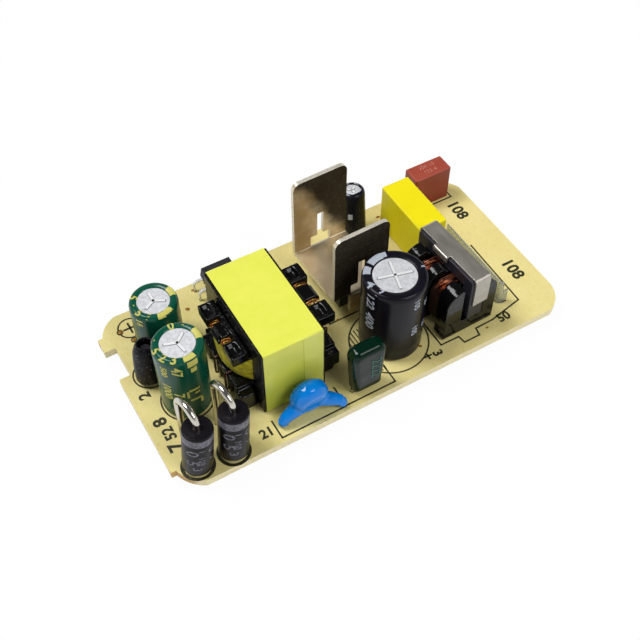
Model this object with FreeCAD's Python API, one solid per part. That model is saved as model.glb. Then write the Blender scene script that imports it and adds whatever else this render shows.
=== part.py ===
import FreeCAD, Part
import math
import os

# Open frame power supply on a single sided board, all sizes in millimetres.
# Layout frame: x from the output end of the board, y from its front edge, z up from the
# component side. The pieces are moved to the part's own frame at the end of the file.
V = FreeCAD.Vector
UP = V(0, 0, 1)

# General fits
hole_clearance = 0.12       # between a lead and the wall of its hole
seat_clearance = 0.1        # between mouldings, ferrites and what they hold
small_sides = 6             # thin leads, their holes and their solder are drawn six sided
wire_sides = 8              # of the thicker bent wires
bend_steps = 5              # chords in each bend of such a wire
hidden_sides = 24           # of round faces that nothing shows, such as a can inside its sleeve

# Board: the outline's width and length follow from the layout further down
board_thickness = 1.6
snap_step = 0.9             # the snapped left end stands this far out beside its corners
left_corner_run = 3.6       # along x
front_left_rise = 4.2       # along y
back_left_rise = 3.55
right_corner_run = 3.8
right_corner_rise = 5.0
back_right_rise = 4.1
left_corner_bulge = 0.55    # of each corner's arc, out from its chord
right_corner_bulge = 0.9
notch_depth = 2.15
notch_width = 6.7
notch_back_margin = 6.75    # from the notch to the board's back edge

# Solder joints, each a cone over the cut end of its lead
solder_land = 0.4           # solder stands out this far round the lead
solder_height = 2.0
solder_tip = 0.12           # left round the lead at the tip of the cone

# Output rectifier diodes, standing with the upper lead bent over
diode_diameter = 5.2
diode_length = 10.0
diode_standoff = 0.3
diode_chamfer = 0.3
diode_lead_radius = 0.65
diode_row_gap = 5.4         # from the middle of the bodies' tops to the bent leads
diode_loop_rise = 2.8
diode_bent_lead_shift = 0.3 # of the bent leads' feet from the bodies' feet, along x
diode_slant_x = 1.12        # the bodies lean: their tops stand this far from their feet
diode_slant_y = [0.25, 0.8]
diode_left_margin = 1.9
diode_front_margin = 0.95
diode_gap = 1.14

# Electrolytic capacitors
sleeve_wall = 0.3
sleeve_shoulder = 0.6
sleeve_standoff = 0.15
vent_width = 0.22
vent_depth = 0.12
vent_margin = 0.5           # the score lines end this far inside the sleeve's lip
electrolytic_lead_radius = 0.3

output_cap_diameter = 8.7
output_cap_height = 16.2
output_cap_lip = 1.42
output_cap_pitch = 3.5
output_cap_margin = 4.4
output_cap_gap = 5.65       # behind the diodes

filter_cap_diameter = 8.55
filter_cap_height = 12.0
filter_cap_lip = 1.46
filter_cap_pitch = 3.5
filter_cap_shift = 1.15

bulk_cap_diameter = 11.4
bulk_cap_height = 17.4
bulk_cap_lip = 1.9
bulk_cap_pitch = 5.0
bulk_cap_front_margin = 4.05
bulk_cap_shift_x = 1.8      # from the middle of the heatsink behind it

supply_cap_diameter = 4.9
supply_cap_height = 10.8
supply_cap_lean_deg = 6.0   # towards the board's back edge
supply_cap_lip = 0.85
supply_cap_pitch = 2.0
supply_cap_gap = 1.5
supply_cap_back_margin = 1.65

# Rod inductor in a shrink sleeve, leaning
rod_sleeve_radius = 2.15
rod_sleeve_wall = 0.25
rod_sleeve_length = 8.6
rod_core_radius = 1.0
rod_core_length = 6.6
rod_winding_radius = 1.6
rod_winding_length = 5.2
rod_standoff = 0.8
rod_lean_deg = 6.5
rod_knee = 0.5              # height at which the leads turn upright
rod_lead_radius = 0.3
rod_cap_gap = 0.3           # behind the output capacitor
filter_cap_gap = 0.05       # behind the rod inductor

# Power transformer: two round-post ferrite halves, a pinned bobbin and a tape band
core_length = 20.4
core_width = 12.0
core_height = 15.8
core_yoke = 3.9
core_post_radius = 4.4
core_window_radius = 9.1
core_standoff = 0.3
tape_width = 11.05
tape_thickness = 0.12
bobbin_wall = 0.7
flange_thickness = 0.8
flange_half_length = 6.5
bobbin_left_reach = 9.2
bobbin_right_reach = 10.2
ear_height = 2.2
ear_length = 3.6
rib_length = 3.2
rib_middle = 0.4
rib_height = 1.6
rib_inset = 0.6
rim_width = 0.75
rim_height = 1.9
rail_half_length = 8.2
tooth_length = 2.3
tooth_reach = 1.3
tooth_lift = 0.9            # pins show below the teeth over this height
transformer_pin_offsets = [-7.0, -3.0, 1.0, 5.0]
transformer_pin_radius = 0.35
winding_radius = 8.45
lead_out_radius = 0.2
transformer_front_margin = 6.6
transformer_cap_gap = 2.35
rail_to_capacitor = 0.3

# Optocoupler behind the transformer, with its leads formed wide
opto_width = 6.5
opto_length = 4.6
opto_height = 3.5
opto_standoff = 0.6
opto_draft = 0.35
opto_row_spacing = 10.16
opto_pin_pitch = 2.54
opto_lead_width = 0.6
opto_lead_thickness = 0.25
opto_lead_bend = 0.45
opto_gap = 6.6
opto_back_margin = 0.8
opto_shift_x = 0.65
opto_dimple_radius = 0.45
opto_dimple_depth = 0.12

# Heatsink: one folded sheet with a foot bent out of a slot in each fin
sheet = 0.8
sink_width = 11.1
sink_depth = 14.4
sink_skew_deg = 1.7         # its front edge stands towards the mains end
sink_underside = 5.3
sink_back_height = 17.9     # of the back fin, from the underside of the floor
sink_front_height = 15.9
sink_bend = 1.2             # outer radius of every bend
sink_corner = 1.4
slot_width = 1.3
slot_top = 8.6              # above the underside of the floor
foot_width = 4.2
foot_window = 3.2           # height of the wide gap that a foot leaves in its fin
foot_standoff = 1.2         # from the board to the shoulder of a foot
sink_transformer_gap = 3.8
sink_bulk_gap = 2.15

# Power transistor, face up under the heatsink's floor
transistor_width = 7.8
transistor_length = 10.8
transistor_height = 3.3
transistor_hole_radius = 1.6
transistor_hole_place = 3.75
transistor_edge = 1.9       # from the heatsink's side edge
transistor_front_gap = 0.3  # behind the front foot
transistor_lead_pitch = 2.28
transistor_lead_width = 0.75
transistor_lead_thickness = 0.5
transistor_lead_rise = 1.1  # of the leads above the package's underside
transistor_lead_reach = 0.5

# Blue disc capacitor with resin run down its leads
disc_radius = 3.15
disc_thickness = 3.2
disc_rim = 2.3              # radius of its flat faces
disc_edge = 1.5             # thickness at the outer edge
disc_height = 4.3
disc_lean_deg = 8.0
disc_pitch = 10.6
disc_lead_radius = 0.3
disc_leg_radius = 0.75      # at the foot
disc_leg_root = 1.45        # radius where a leg leaves the disc
disc_leg_knee = 1.6         # height
disc_leg_height = 0.5       # bare leads show below this
disc_centre_back = 1.3      # behind the feet
disc_skew = 0.75            # the left foot stands back and the right one forward by this
disc_front_margin = 2.25
disc_film_gap = 2.2

# Dipped film capacitor
film_width = 6.7            # near its top
film_foot_width = 5.4
film_thickness = 3.2
film_height = 11.0
film_standoff = 0.7
film_pitch = 5.08
film_round = 1.6            # of its upper corners
film_lead_radius = 0.3
film_front_margin = 1.45
film_bulk_step = 0.4        # from its side to the side of the bulk capacitor behind it
film_bevel = 0.7            # round both faces

# Common mode choke: two U cores, one bobbin with two windings, a spring steel clamp
choke_skew_deg = 1.5
choke_core_skew_deg = 3.3   # the cores and the clamp sit aslant in the bobbin
choke_core_length = 15.3
choke_core_top = 13.2
choke_core_base = 3.4
choke_core_bevel = 0.5
choke_core_width = 3.3
choke_core_shift = 0.68     # from the middle of the bobbin
choke_leg = 2.5
choke_yoke = 2.3
choke_slot_left = 1.9       # of the slot for the core, from the middle of the bobbin
choke_slot_right = 2.7
choke_tube_wall = 0.6
choke_flange = 0.6
choke_middle_flange = 2.1
choke_section = 3.0         # length of each winding
choke_back_flange = 1.7
choke_back_block = 0.9      # runs on this far beside the back yoke
choke_half_width = 5.45
choke_block_top = 11.8
choke_round = 3.2           # of the bobbin's two upper corners
choke_standoff = 0.3
choke_setback = 0.15        # of the blocks from the face of the front yoke
choke_winding_inset = 0.4   # of the windings from the outline of the flanges
choke_winding_top_gap = 0.5 # between a winding and the upper leg
choke_pin_radius = 0.35
choke_pin_inset = 1.3
clamp_width = 3.3
clamp_shift = 1.2           # from the middle of the bobbin
clamp_thickness = 0.4
clamp_leg = 6.5
clamp_bend = 0.9            # outer radius
clamp_tab_length = 3.8
clamp_tab_drop = 1.2
clamp_tab_place = 1.2       # middle of the tab, from the middle of the core
choke_bulk_gap = 1.8
choke_front_margin = 4.0

# Line capacitor in a plastic box
box_cap_width = 5.9
box_cap_length = 13.2
box_cap_height = 10.4
box_cap_bevel = 0.2
box_cap_foot = 0.3
box_cap_foot_length = 0.7
box_cap_lead_inset = 1.6    # of the leads from the ends of the case
box_cap_lead_radius = 0.4
box_cap_gap = 1.6
box_cap_shift_x = 3.2

# Radial fuse in a rectangular moulding
fuse_length = 8.3
fuse_width = 4.05
fuse_height = 7.9
fuse_bevel = 0.25
fuse_pitch = 5.08
fuse_lead_radius = 0.3
fuse_gap = 2.15
fuse_right_margin = 3.45
fuse_back_margin = 1.0

# Insulating film beside the choke
film_wall = 0.3
film_wall_height = 5.8
film_wall_length = 17.0
film_hook_radius = 0.6
film_hook_reach = 1.8
film_hook_height = 3.2
film_tab_length = 1.0
film_choke_gap = 3.0
film_front_y = 6.1
film_slot_clearance = 0.15

# Surface mounted parts on the solder side
bridge_length = 5.0
bridge_width = 4.4
bridge_height = 1.5
bridge_lead_width = 0.7
bridge_lead_pitch = 3.0
controller_length = 4.9
controller_width = 3.9
controller_height = 1.5
controller_lead_width = 0.42
controller_lead_pitch = 1.27
chip_lead_reach = 1.0
chip_lead_thickness = 0.22
chip_gap = 0.1              # between a chip's body and the board
resistor_length = 3.2
resistor_width = 1.6
resistor_height = 0.6
resistor_pitch = 2.6

# Wire holes for the output pair
wire_hole_radius = 0.65
wire_hole_from_edge = 4.2
wire_hole_spacing_x = 1.6
wire_hole_spacing_y = 2.8
wire_hole_back_margin = 3.9
spare_hole_radius = 0.4
spare_hole_gap_x = 3.0
spare_hole_back_margin = 5.2

# Layout
diode_x = [diode_left_margin + diode_diameter / 2]
diode_x.append(diode_x[0] + diode_diameter + diode_gap)
diode_top_y = diode_front_margin + diode_diameter / 2
output_cap_x = output_cap_margin + output_cap_diameter / 2
output_cap_y = diode_front_margin + diode_diameter + output_cap_gap + output_cap_diameter / 2
rod_x = output_cap_x - output_cap_diameter / 2 + 0.1
rod_y = output_cap_y + output_cap_diameter / 2 + rod_cap_gap + rod_sleeve_radius
filter_cap_x = output_cap_x + filter_cap_shift
filter_cap_y = rod_y + rod_sleeve_radius + filter_cap_gap + filter_cap_diameter / 2
transformer_x = output_cap_x + output_cap_diameter / 2 + transformer_cap_gap + bobbin_left_reach
transformer_y = transformer_front_margin + core_length / 2
sink_x = transformer_x + bobbin_right_reach + sink_transformer_gap
bulk_cap_y = bulk_cap_front_margin + bulk_cap_diameter / 2
sink_y = bulk_cap_y + bulk_cap_diameter / 2 + sink_bulk_gap
sink_middle = V(sink_x + sink_width / 2, sink_y + sink_depth / 2, 0)
bulk_cap_x = sink_x + sink_width / 2 + bulk_cap_shift_x
film_x = bulk_cap_x - bulk_cap_diameter / 2 - film_bulk_step - film_width / 2
film_y = film_front_margin + film_thickness / 2
disc_x = film_x - film_width / 2 - disc_film_gap - disc_pitch / 2
disc_y = disc_front_margin
opto_x = transformer_x + opto_shift_x
opto_y = transformer_y + core_length / 2 + opto_gap + opto_length / 2
board_width = opto_y + opto_length / 2 + opto_back_margin
supply_cap_x = sink_x + sink_width + supply_cap_gap + supply_cap_diameter / 2
supply_cap_y = board_width - supply_cap_back_margin - supply_cap_diameter / 2
choke_x = bulk_cap_x + bulk_cap_diameter / 2 + choke_bulk_gap + choke_half_width
choke_y = choke_front_margin + choke_core_length / 2
box_cap_x = choke_x + box_cap_shift_x
box_cap_y = choke_y + choke_core_length / 2 + box_cap_gap + box_cap_length / 2
fuse_x = box_cap_x + box_cap_width / 2 + fuse_gap + fuse_length / 2
fuse_y = board_width - fuse_back_margin - fuse_width / 2
board_length = fuse_x + fuse_length / 2 + fuse_right_margin
solder_side = -board_thickness

parts = {}                  # node name to its list of solids
holes = []                  # the tools that open the board for the leads


def add(node, *solids):
    """Books solids under the name of the piece that they form."""
    parts.setdefault(node, []).extend(solids)


def box(x0, x1, y0, y1, z0, z1):
    return Part.makeBox(x1 - x0, y1 - y0, z1 - z0, V(x0, y0, z0))


def rod(x, y, z0, z1, radius):
    return Part.makeCylinder(radius, z1 - z0, V(x, y, z0))


def ring(centre, along, radius, sides):
    """A small many-sided ring about a direction."""
    across = along.cross(UP) if abs(along.z) < 0.9 else V(1, 0, 0)
    across = across.normalize() * radius
    corners = []
    for number in range(sides + 1):
        turn = FreeCAD.Rotation(along, 360 * number / sides)
        corners.append(centre + turn.multVec(across))
    return Part.makePolygon(corners)


def faceted_rod(x, y, z0, z1, radius, sides=small_sides):
    face = Part.Face(ring(V(x, y, z0), UP, radius, sides))
    return face.extrude(V(0, 0, z1 - z0))


def around(radius):
    """Size of a hidden many-sided hole that clears a round thing of this radius."""
    return radius / math.cos(math.pi / hidden_sides)


def tapered(low, high):
    """A solid between two closed outlines whose sides are parallel."""
    below = [vertex.Point for vertex in low.OrderedVertexes]
    above = [vertex.Point for vertex in high.OrderedVertexes]
    faces = [Part.Face(low), Part.Face(high)]
    for here in range(len(below)):
        after = (here + 1) % len(below)
        faces.append(Part.Face(Part.makePolygon(
            [below[here], below[after], above[after], above[here], below[here]])))
    solid = Part.Solid(Part.Shell(faces))
    if solid.Volume < 0:
        solid.reverse()
    return solid


def frame(x, y, z, half_x, half_y):
    """A level rectangular wire about a point."""
    corners = []
    for side, end in ((-1, -1), (1, -1), (1, 1), (-1, 1), (-1, -1)):
        corners.append(V(x + side * half_x, y + end * half_y, z))
    return Part.makePolygon(corners)


def outline(start, *steps):
    """A closed face; a step is one point for a line, or a pair (through, end) for an arc."""
    edges = []
    here = start
    for step in steps:
        if isinstance(step, tuple):
            through, end = step
            edges.append(Part.Arc(here, through, end).toShape())
        else:
            end = step
            edges.append(Part.makeLine(here, end))
        here = end
    if here.distanceToPoint(start) > 1e-6:
        edges.append(Part.makeLine(here, start))
    return Part.Face(Part.Wire(edges))


def turned(x, y, *profile):
    """Turns an outline, given as (radius, z) points, about the vertical line at (x, y)."""
    points = []
    for entry in profile:
        if isinstance(entry[0], tuple):
            points.append(tuple(V(r, 0, z) for r, z in entry))
        else:
            points.append(V(entry[0], 0, entry[1]))
    solid = outline(*points).revolve(V(0, 0, 0), UP, 360)
    solid.translate(V(x, y, 0))
    return solid


def filleted(solid, radius, wanted):
    """Rounds the edges whose middle point passes the test."""
    edges = [e for e in solid.Edges if wanted(e.CenterOfMass, e)]
    return solid.makeFillet(radius, edges)


def is_along(edge, axis):
    """True for a straight edge along one of the axes."""
    first, last = edge.Vertexes[0].Point, edge.Vertexes[-1].Point
    return abs((last - first).normalize().dot(axis)) > 0.999


def tangent_path(points, bend):
    """Straight runs joined by tangent arcs of one bend radius."""
    edges = []
    here = points[0]
    for before, corner, after in zip(points, points[1:], points[2:]):
        into = (corner - before).normalize()
        out = (after - corner).normalize()
        turn = into.getAngle(out)
        setback = bend * math.tan(turn / 2)
        start = corner - into * setback
        end = corner + out * setback
        inward = (out - into).normalize()
        through = corner + inward * (bend / math.cos(turn / 2) - bend)
        if start.distanceToPoint(here) > 1e-6:
            edges.append(Part.makeLine(here, start))
        edges.append(Part.Arc(start, through, end).toShape())
        here = end
    if here.distanceToPoint(points[-1]) > 1e-6:
        edges.append(Part.makeLine(here, points[-1]))
    return Part.Wire(edges)


def mitred(points, section):
    """Carries a section along straight runs with mitred corners."""
    return Part.makePolygon(points).makePipeShell([section], True, False, 1)


def round_wire(points, bend, radius, sides=wire_sides):
    """A wire bent along a path; each bend is drawn as a few chords."""
    section = ring(points[0], (points[1] - points[0]).normalize(), radius, sides)
    if not bend:
        return mitred(points, section)
    steps = []
    for edge in tangent_path(points, bend).Edges:
        straight = isinstance(edge.Curve, Part.Line)
        places = edge.discretize(2 if straight else bend_steps + 1)
        if steps and places[-1].distanceToPoint(steps[-1]) < places[0].distanceToPoint(steps[-1]):
            places.reverse()
        steps.extend(places if not steps else places[1:])
    return mitred(steps, section)


def flat_wire(points, bend, thickness, width, across):
    """A flat strip bent along a path, its width along one direction."""
    upward = (points[1] - points[0]).normalize().cross(across)
    corners = []
    for side, rise in ((-1, -1), (1, -1), (1, 1), (-1, 1), (-1, -1)):
        corners.append(points[0] + across * (side * width / 2) + upward * (rise * thickness / 2))
    section = Part.makePolygon(corners)
    if not bend:
        return mitred(points, section)
    return tangent_path(points, bend).makePipeShell([section], True, False)


def round_joint(x, y, radius):
    """A hole in the board for a lead, and the cone of solder over the lead's cut end."""
    holes.append(faceted_rod(x, y, solder_side, 0, radius + hole_clearance))
    low = solder_side - solder_height
    add("solder_joints", tapered(ring(V(x, y, low), UP, radius + solder_tip, small_sides),
                                 ring(V(x, y, solder_side), UP, radius + solder_land, small_sides)))


def flat_joint(x, y, half_x, half_y):
    """A slot in the board for a flat lead, and its cone of solder."""
    near_x, near_y = half_x + hole_clearance, half_y + hole_clearance
    holes.append(box(x - near_x, x + near_x, y - near_y, y + near_y, solder_side, 0))
    low = solder_side - solder_height
    add("solder_joints", tapered(
        frame(x, y, low, half_x + solder_tip, half_y + solder_tip),
        frame(x, y, solder_side, half_x + solder_land, half_y + solder_land)))


def straight_lead(node, x, y, top, radius):
    """A lead from the underside of its body down through the board."""
    add(node, faceted_rod(x, y, solder_side, top, radius))
    round_joint(x, y, radius)


def lead_pair(node, x, y, pitch, top, radius, along_x=True):
    """Two straight leads, either side of the middle of their body."""
    for side in (-1, 1):
        dx = side * pitch / 2 if along_x else 0
        dy = 0 if along_x else side * pitch / 2
        straight_lead(node, x + dx, y + dy, top, radius)


def electrolytic(name, x, y, diameter, height, lip, pitch, vent_arms, lean_deg=0):
    """An aluminium can, scored so that it can vent, in a printed shrink sleeve."""
    outer = diameter / 2
    inner = outer - sleeve_wall
    low = sleeve_standoff
    top = height - sleeve_wall
    mouth = outer - lip
    sleeve = turned(
        x, y,
        (0, low),
        (outer, low),
        (outer, height - sleeve_shoulder),
        (outer - sleeve_shoulder, height),
        (mouth, top),
        (0, top))
    can = faceted_rod(x, y, low, top, inner, hidden_sides)
    sleeve = sleeve.cut(rod(x, y, low, height, mouth)).cut(can)
    arm = mouth - vent_margin
    for number in range(vent_arms):
        score = box(0, arm, -vent_width / 2, vent_width / 2, top - vent_depth, top + vent_depth)
        score.rotate(V(0, 0, 0), UP, 25 + number * 360 / vent_arms)
        score.translate(V(x, y, 0))
        can = can.cut(score)
    lean = math.radians(lean_deg)
    rise = outer * math.sin(lean)
    for node, solid in ((name + "_sleeve", sleeve), (name + "_can", can.removeSplitter())):
        solid.rotate(V(x, y, low), V(-1, 0, 0), lean_deg)
        solid.translate(UP * rise)
        add(node, solid)
    lead_top = low + rise - electrolytic_lead_radius * math.tan(lean)
    lead_pair(name + "_leads", x, y, pitch, lead_top, electrolytic_lead_radius)


# Electrolytic capacitors
electrolytic("output_capacitor", output_cap_x, output_cap_y, output_cap_diameter,
             output_cap_height, output_cap_lip, output_cap_pitch, 3)
electrolytic("filter_capacitor", filter_cap_x, filter_cap_y, filter_cap_diameter,
             filter_cap_height, filter_cap_lip, filter_cap_pitch, 3)
electrolytic("bulk_capacitor", bulk_cap_x, bulk_cap_y, bulk_cap_diameter,
             bulk_cap_height, bulk_cap_lip, bulk_cap_pitch, 4)
electrolytic("supply_capacitor", supply_cap_x, supply_cap_y, supply_cap_diameter,
             supply_cap_height, supply_cap_lip, supply_cap_pitch, 3, supply_cap_lean_deg)


def standing_diode(number, x, slant_y):
    """A moulded diode on end, leaning; its upper lead loops over and down behind the body."""
    radius = diode_diameter / 2
    edge = diode_chamfer
    y = diode_top_y - slant_y
    axis = V(diode_slant_x, slant_y, diode_length).normalize()
    bottom = V(x, y, diode_standoff + radius * diode_slant_x / diode_length)
    top = bottom + axis * diode_length
    body = turned(
        0, 0,
        (0, 0), (radius - edge, 0), (radius, edge),
        (radius, diode_length - edge), (radius - edge, diode_length), (0, diode_length))
    body.Placement = FreeCAD.Placement(bottom, FreeCAD.Rotation(UP, axis))
    add("diode_%d_body" % number, body)
    lower = faceted_rod(x, y, solder_side, bottom.z + radius, diode_lead_radius, wire_sides)
    foot = V(x + diode_bent_lead_shift, diode_top_y + diode_row_gap, solder_side)
    crest = top.z + diode_loop_rise
    corners = [top - UP * diode_chamfer, V(top.x, top.y, crest), V(foot.x, foot.y, crest), foot]
    upper = round_wire(corners, diode_row_gap * 0.42, diode_lead_radius)
    add("diode_%d_leads" % number, lower.cut(body), upper.cut(body))
    round_joint(x, y, diode_lead_radius)
    round_joint(foot.x, foot.y, diode_lead_radius)


# Output rectifier diodes
for index, x in enumerate(diode_x):
    standing_diode(index + 1, x, diode_slant_y[index])


def rod_inductor(x, y):
    """A wound ferrite rod in a tube of shrink sleeve that is open at the top, leaning."""
    lean_axis = V(-0.6, 0.8, 0)
    across = V(0.6, -0.8, 0)
    foot = V(x, y, 0)
    turn = FreeCAD.Rotation(lean_axis, rod_lean_deg)
    low = rod_standoff
    high = low + rod_sleeve_length
    inner = rod_sleeve_radius - rod_sleeve_wall
    coil_low = low + 0.8
    coil_high = coil_low + rod_winding_length
    core_low = coil_low
    core_high = core_low + rod_core_length
    tube = rod(x, y, low - 1, high, rod_sleeve_radius).cut(rod(x, y, low - 1, high, inner))
    core = rod(x, y, core_low, core_high, rod_core_radius)
    coil = rod(x, y, coil_low, coil_high, rod_winding_radius).cut(core)
    for piece in (tube, core, coil):
        piece.rotate(foot, lean_axis, rod_lean_deg)
    below = box(x - 5, x + 5, y - 5, y + 5, low - 5, low)
    add("rod_inductor_sleeve", tube.cut(below))
    add("rod_inductor_core", core)
    add("rod_inductor_winding", coil)
    reach = (rod_core_radius + rod_winding_radius) / 2
    for side in (-1, 1):
        start = foot + turn.multVec(across * (side * reach) + UP * coil_low)
        knee = foot + turn.multVec(across * (side * reach) + UP * rod_knee)
        end = V(knee.x, knee.y, solder_side)
        lead = round_wire([start, knee, end], 0, rod_lead_radius, small_sides)
        add("rod_inductor_leads", lead.cut(coil))
        round_joint(knee.x, knee.y, rod_lead_radius)


rod_inductor(rod_x, rod_y)


def beside(x, side, near, far, y0, y1, z0, z1):
    """A box between two distances from x, on the side given by its sign."""
    ends = sorted((x + side * near, x + side * far))
    return box(ends[0], ends[1], y0, y1, z0, z1)


def transformer(x, y):
    """Two ferrite halves through a pinned bobbin, held together by a band of tape."""
    half_x = core_width / 2
    half_y = core_length / 2
    low = core_standoff
    high = low + core_height
    middle = (low + high) / 2
    window = rod(x, y, low + core_yoke, middle, core_window_radius)
    window = window.cut(rod(x, y, low + core_yoke, middle, core_post_radius))
    lower = box(x - half_x, x + half_x, y - half_y, y + half_y, low, middle).cut(window)
    add("transformer_core_lower", lower)
    add("transformer_core_upper", lower.mirror(V(x, y, middle), UP))
    wide = tape_width / 2
    thick = tape_thickness
    band = box(x - wide, x + wide, y - half_y - thick, y + half_y + thick, low - thick, high + thick)
    band = band.cut(box(x - wide, x + wide, y - half_y, y + half_y, low, high))
    add("transformer_tape", band)

    # Bobbin: tube, two flanges, pin rails below and guides for the wires above
    floor = low + core_yoke + seat_clearance
    ceiling = high - core_yoke - seat_clearance
    tube_inner = core_post_radius + seat_clearance
    tube_outer = tube_inner + bobbin_wall
    coil_low = floor + flange_thickness
    coil_high = ceiling - flange_thickness
    inside = half_x + 1.5 * seat_clearance
    tube = faceted_rod(x, y, floor, ceiling, around(tube_outer), hidden_sides)
    solids = [tube]
    for z in (floor, coil_high):
        solids.append(rod(x, y, z, z + flange_thickness, core_window_radius - 2 * seat_clearance))
        solids.append(box(x - bobbin_left_reach, x + bobbin_right_reach,
                          y - flange_half_length, y + flange_half_length, z, z + flange_thickness))
    notches = []
    for side, reach in ((-1, bobbin_left_reach), (1, bobbin_right_reach)):
        rail_face = reach - tooth_reach
        solids.append(beside(x, side, inside, rail_face,
                             y - rail_half_length, y + rail_half_length, low, floor))
        for offset in transformer_pin_offsets:
            tooth_y = y + offset
            solids.append(beside(x, side, rail_face, reach, tooth_y - tooth_length / 2,
                                 tooth_y + tooth_length / 2, low + tooth_lift, floor))
            straight_lead("transformer_pins", x + side * (reach - tooth_reach / 2), tooth_y,
                          low + tooth_lift, transformer_pin_radius)
        solids.append(beside(x, side, inside, inside + rim_width, y - flange_half_length,
                             y + flange_half_length, coil_high, coil_high + rim_height))
        ear_inner = flange_half_length - ear_length
        for end in (-1, 1):
            ends = sorted((y + end * ear_inner, y + end * flange_half_length))
            solids.append(beside(x, side, inside, reach, ends[0], ends[1],
                                 coil_high, coil_high + ear_height))
        rib_low = y + rib_middle - rib_length / 2
        rib_high = rib_low + rib_length
        solids.append(beside(x, side, inside, reach - rib_inset, rib_low, rib_high,
                             coil_high, coil_high + rib_height))
        for y0, y1 in ((y - ear_inner, rib_low), (rib_high, y + ear_inner)):
            notches.append(beside(x, side, inside + rim_width, reach + 1, y0, y1, coil_high, ceiling))
    bobbin = solids[0].multiFuse(solids[1:])
    bobbin = bobbin.cut(Part.makeCompound(notches))
    bore = faceted_rod(x, y, floor, ceiling, around(tube_inner), hidden_sides)
    add("transformer_bobbin", bobbin.cut(bore).removeSplitter())
    add("transformer_winding", rod(x, y, coil_low, coil_high, winding_radius).cut(tube))

    # Wire ends: two down to the pins on each side
    radius = lead_out_radius
    for side, reach in ((-1, bobbin_left_reach), (1, bobbin_right_reach)):
        outside = x + side * (reach + 0.15 + radius)
        pin_x = x + side * (reach - tooth_reach / 2)
        for offset in transformer_pin_offsets[1:3]:
            wire_y = y + offset
            high_z = coil_low + 0.1 + radius
            low_z = low + tooth_lift - 0.1 - radius
            start_x = x + side * math.sqrt(winding_radius ** 2 - (abs(offset) - radius) ** 2)
            corners = [V(start_x, wire_y, high_z), V(outside, wire_y, high_z),
                       V(outside, wire_y, low_z), V(pin_x, wire_y, low_z)]
            wire = round_wire(corners, 0, radius, small_sides)
            pin = faceted_rod(pin_x, wire_y, solder_side, low + tooth_lift, transformer_pin_radius)
            add("transformer_wire_ends", wire.cut(pin))


transformer(transformer_x, transformer_y)


def optocoupler(x, y):
    """A four lead moulding, its leads formed out to wide rows."""
    half = opto_width / 2
    low = opto_standoff
    high = low + opto_height
    middle = (low + high) / 2
    draft = opto_draft
    y0 = y - opto_length / 2
    profile = outline(
        V(x - half + draft, y0, low), V(x + half - draft, y0, low), V(x + half, y0, middle),
        V(x + half - draft, y0, high), V(x - half + draft, y0, high), V(x - half, y0, middle))
    body = profile.extrude(V(0, opto_length, 0))
    dimple = rod(x - half + 1.2, y0 + opto_length - 1.0, high - opto_dimple_depth, high + 1, opto_dimple_radius)
    add("optocoupler_body", body.cut(dimple))
    for side in (-1, 1):
        row_x = x + side * opto_row_spacing / 2
        for row in (-1, 1):
            lead_y = y + row * opto_pin_pitch / 2
            bend = opto_lead_bend
            corners = [V(x + side * half, lead_y, middle), V(row_x - side * bend, lead_y, middle),
                       V(row_x, lead_y, middle - bend), V(row_x, lead_y, solder_side)]
            lead = flat_wire(corners, 0, opto_lead_thickness, opto_lead_width, V(0, 1, 0))
            add("optocoupler_leads", lead)
            flat_joint(row_x, lead_y, opto_lead_thickness / 2, opto_lead_width / 2)


optocoupler(opto_x, opto_y)


def aslant(x, y):
    """The place of a point once the heatsink is turned to where it sits."""
    offset = FreeCAD.Rotation(UP, sink_skew_deg).multVec(V(x, y, 0) - sink_middle)
    return sink_middle + offset


def add_aslant(node, solid):
    solid.rotate(sink_middle, UP, sink_skew_deg)
    add(node, solid)


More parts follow.
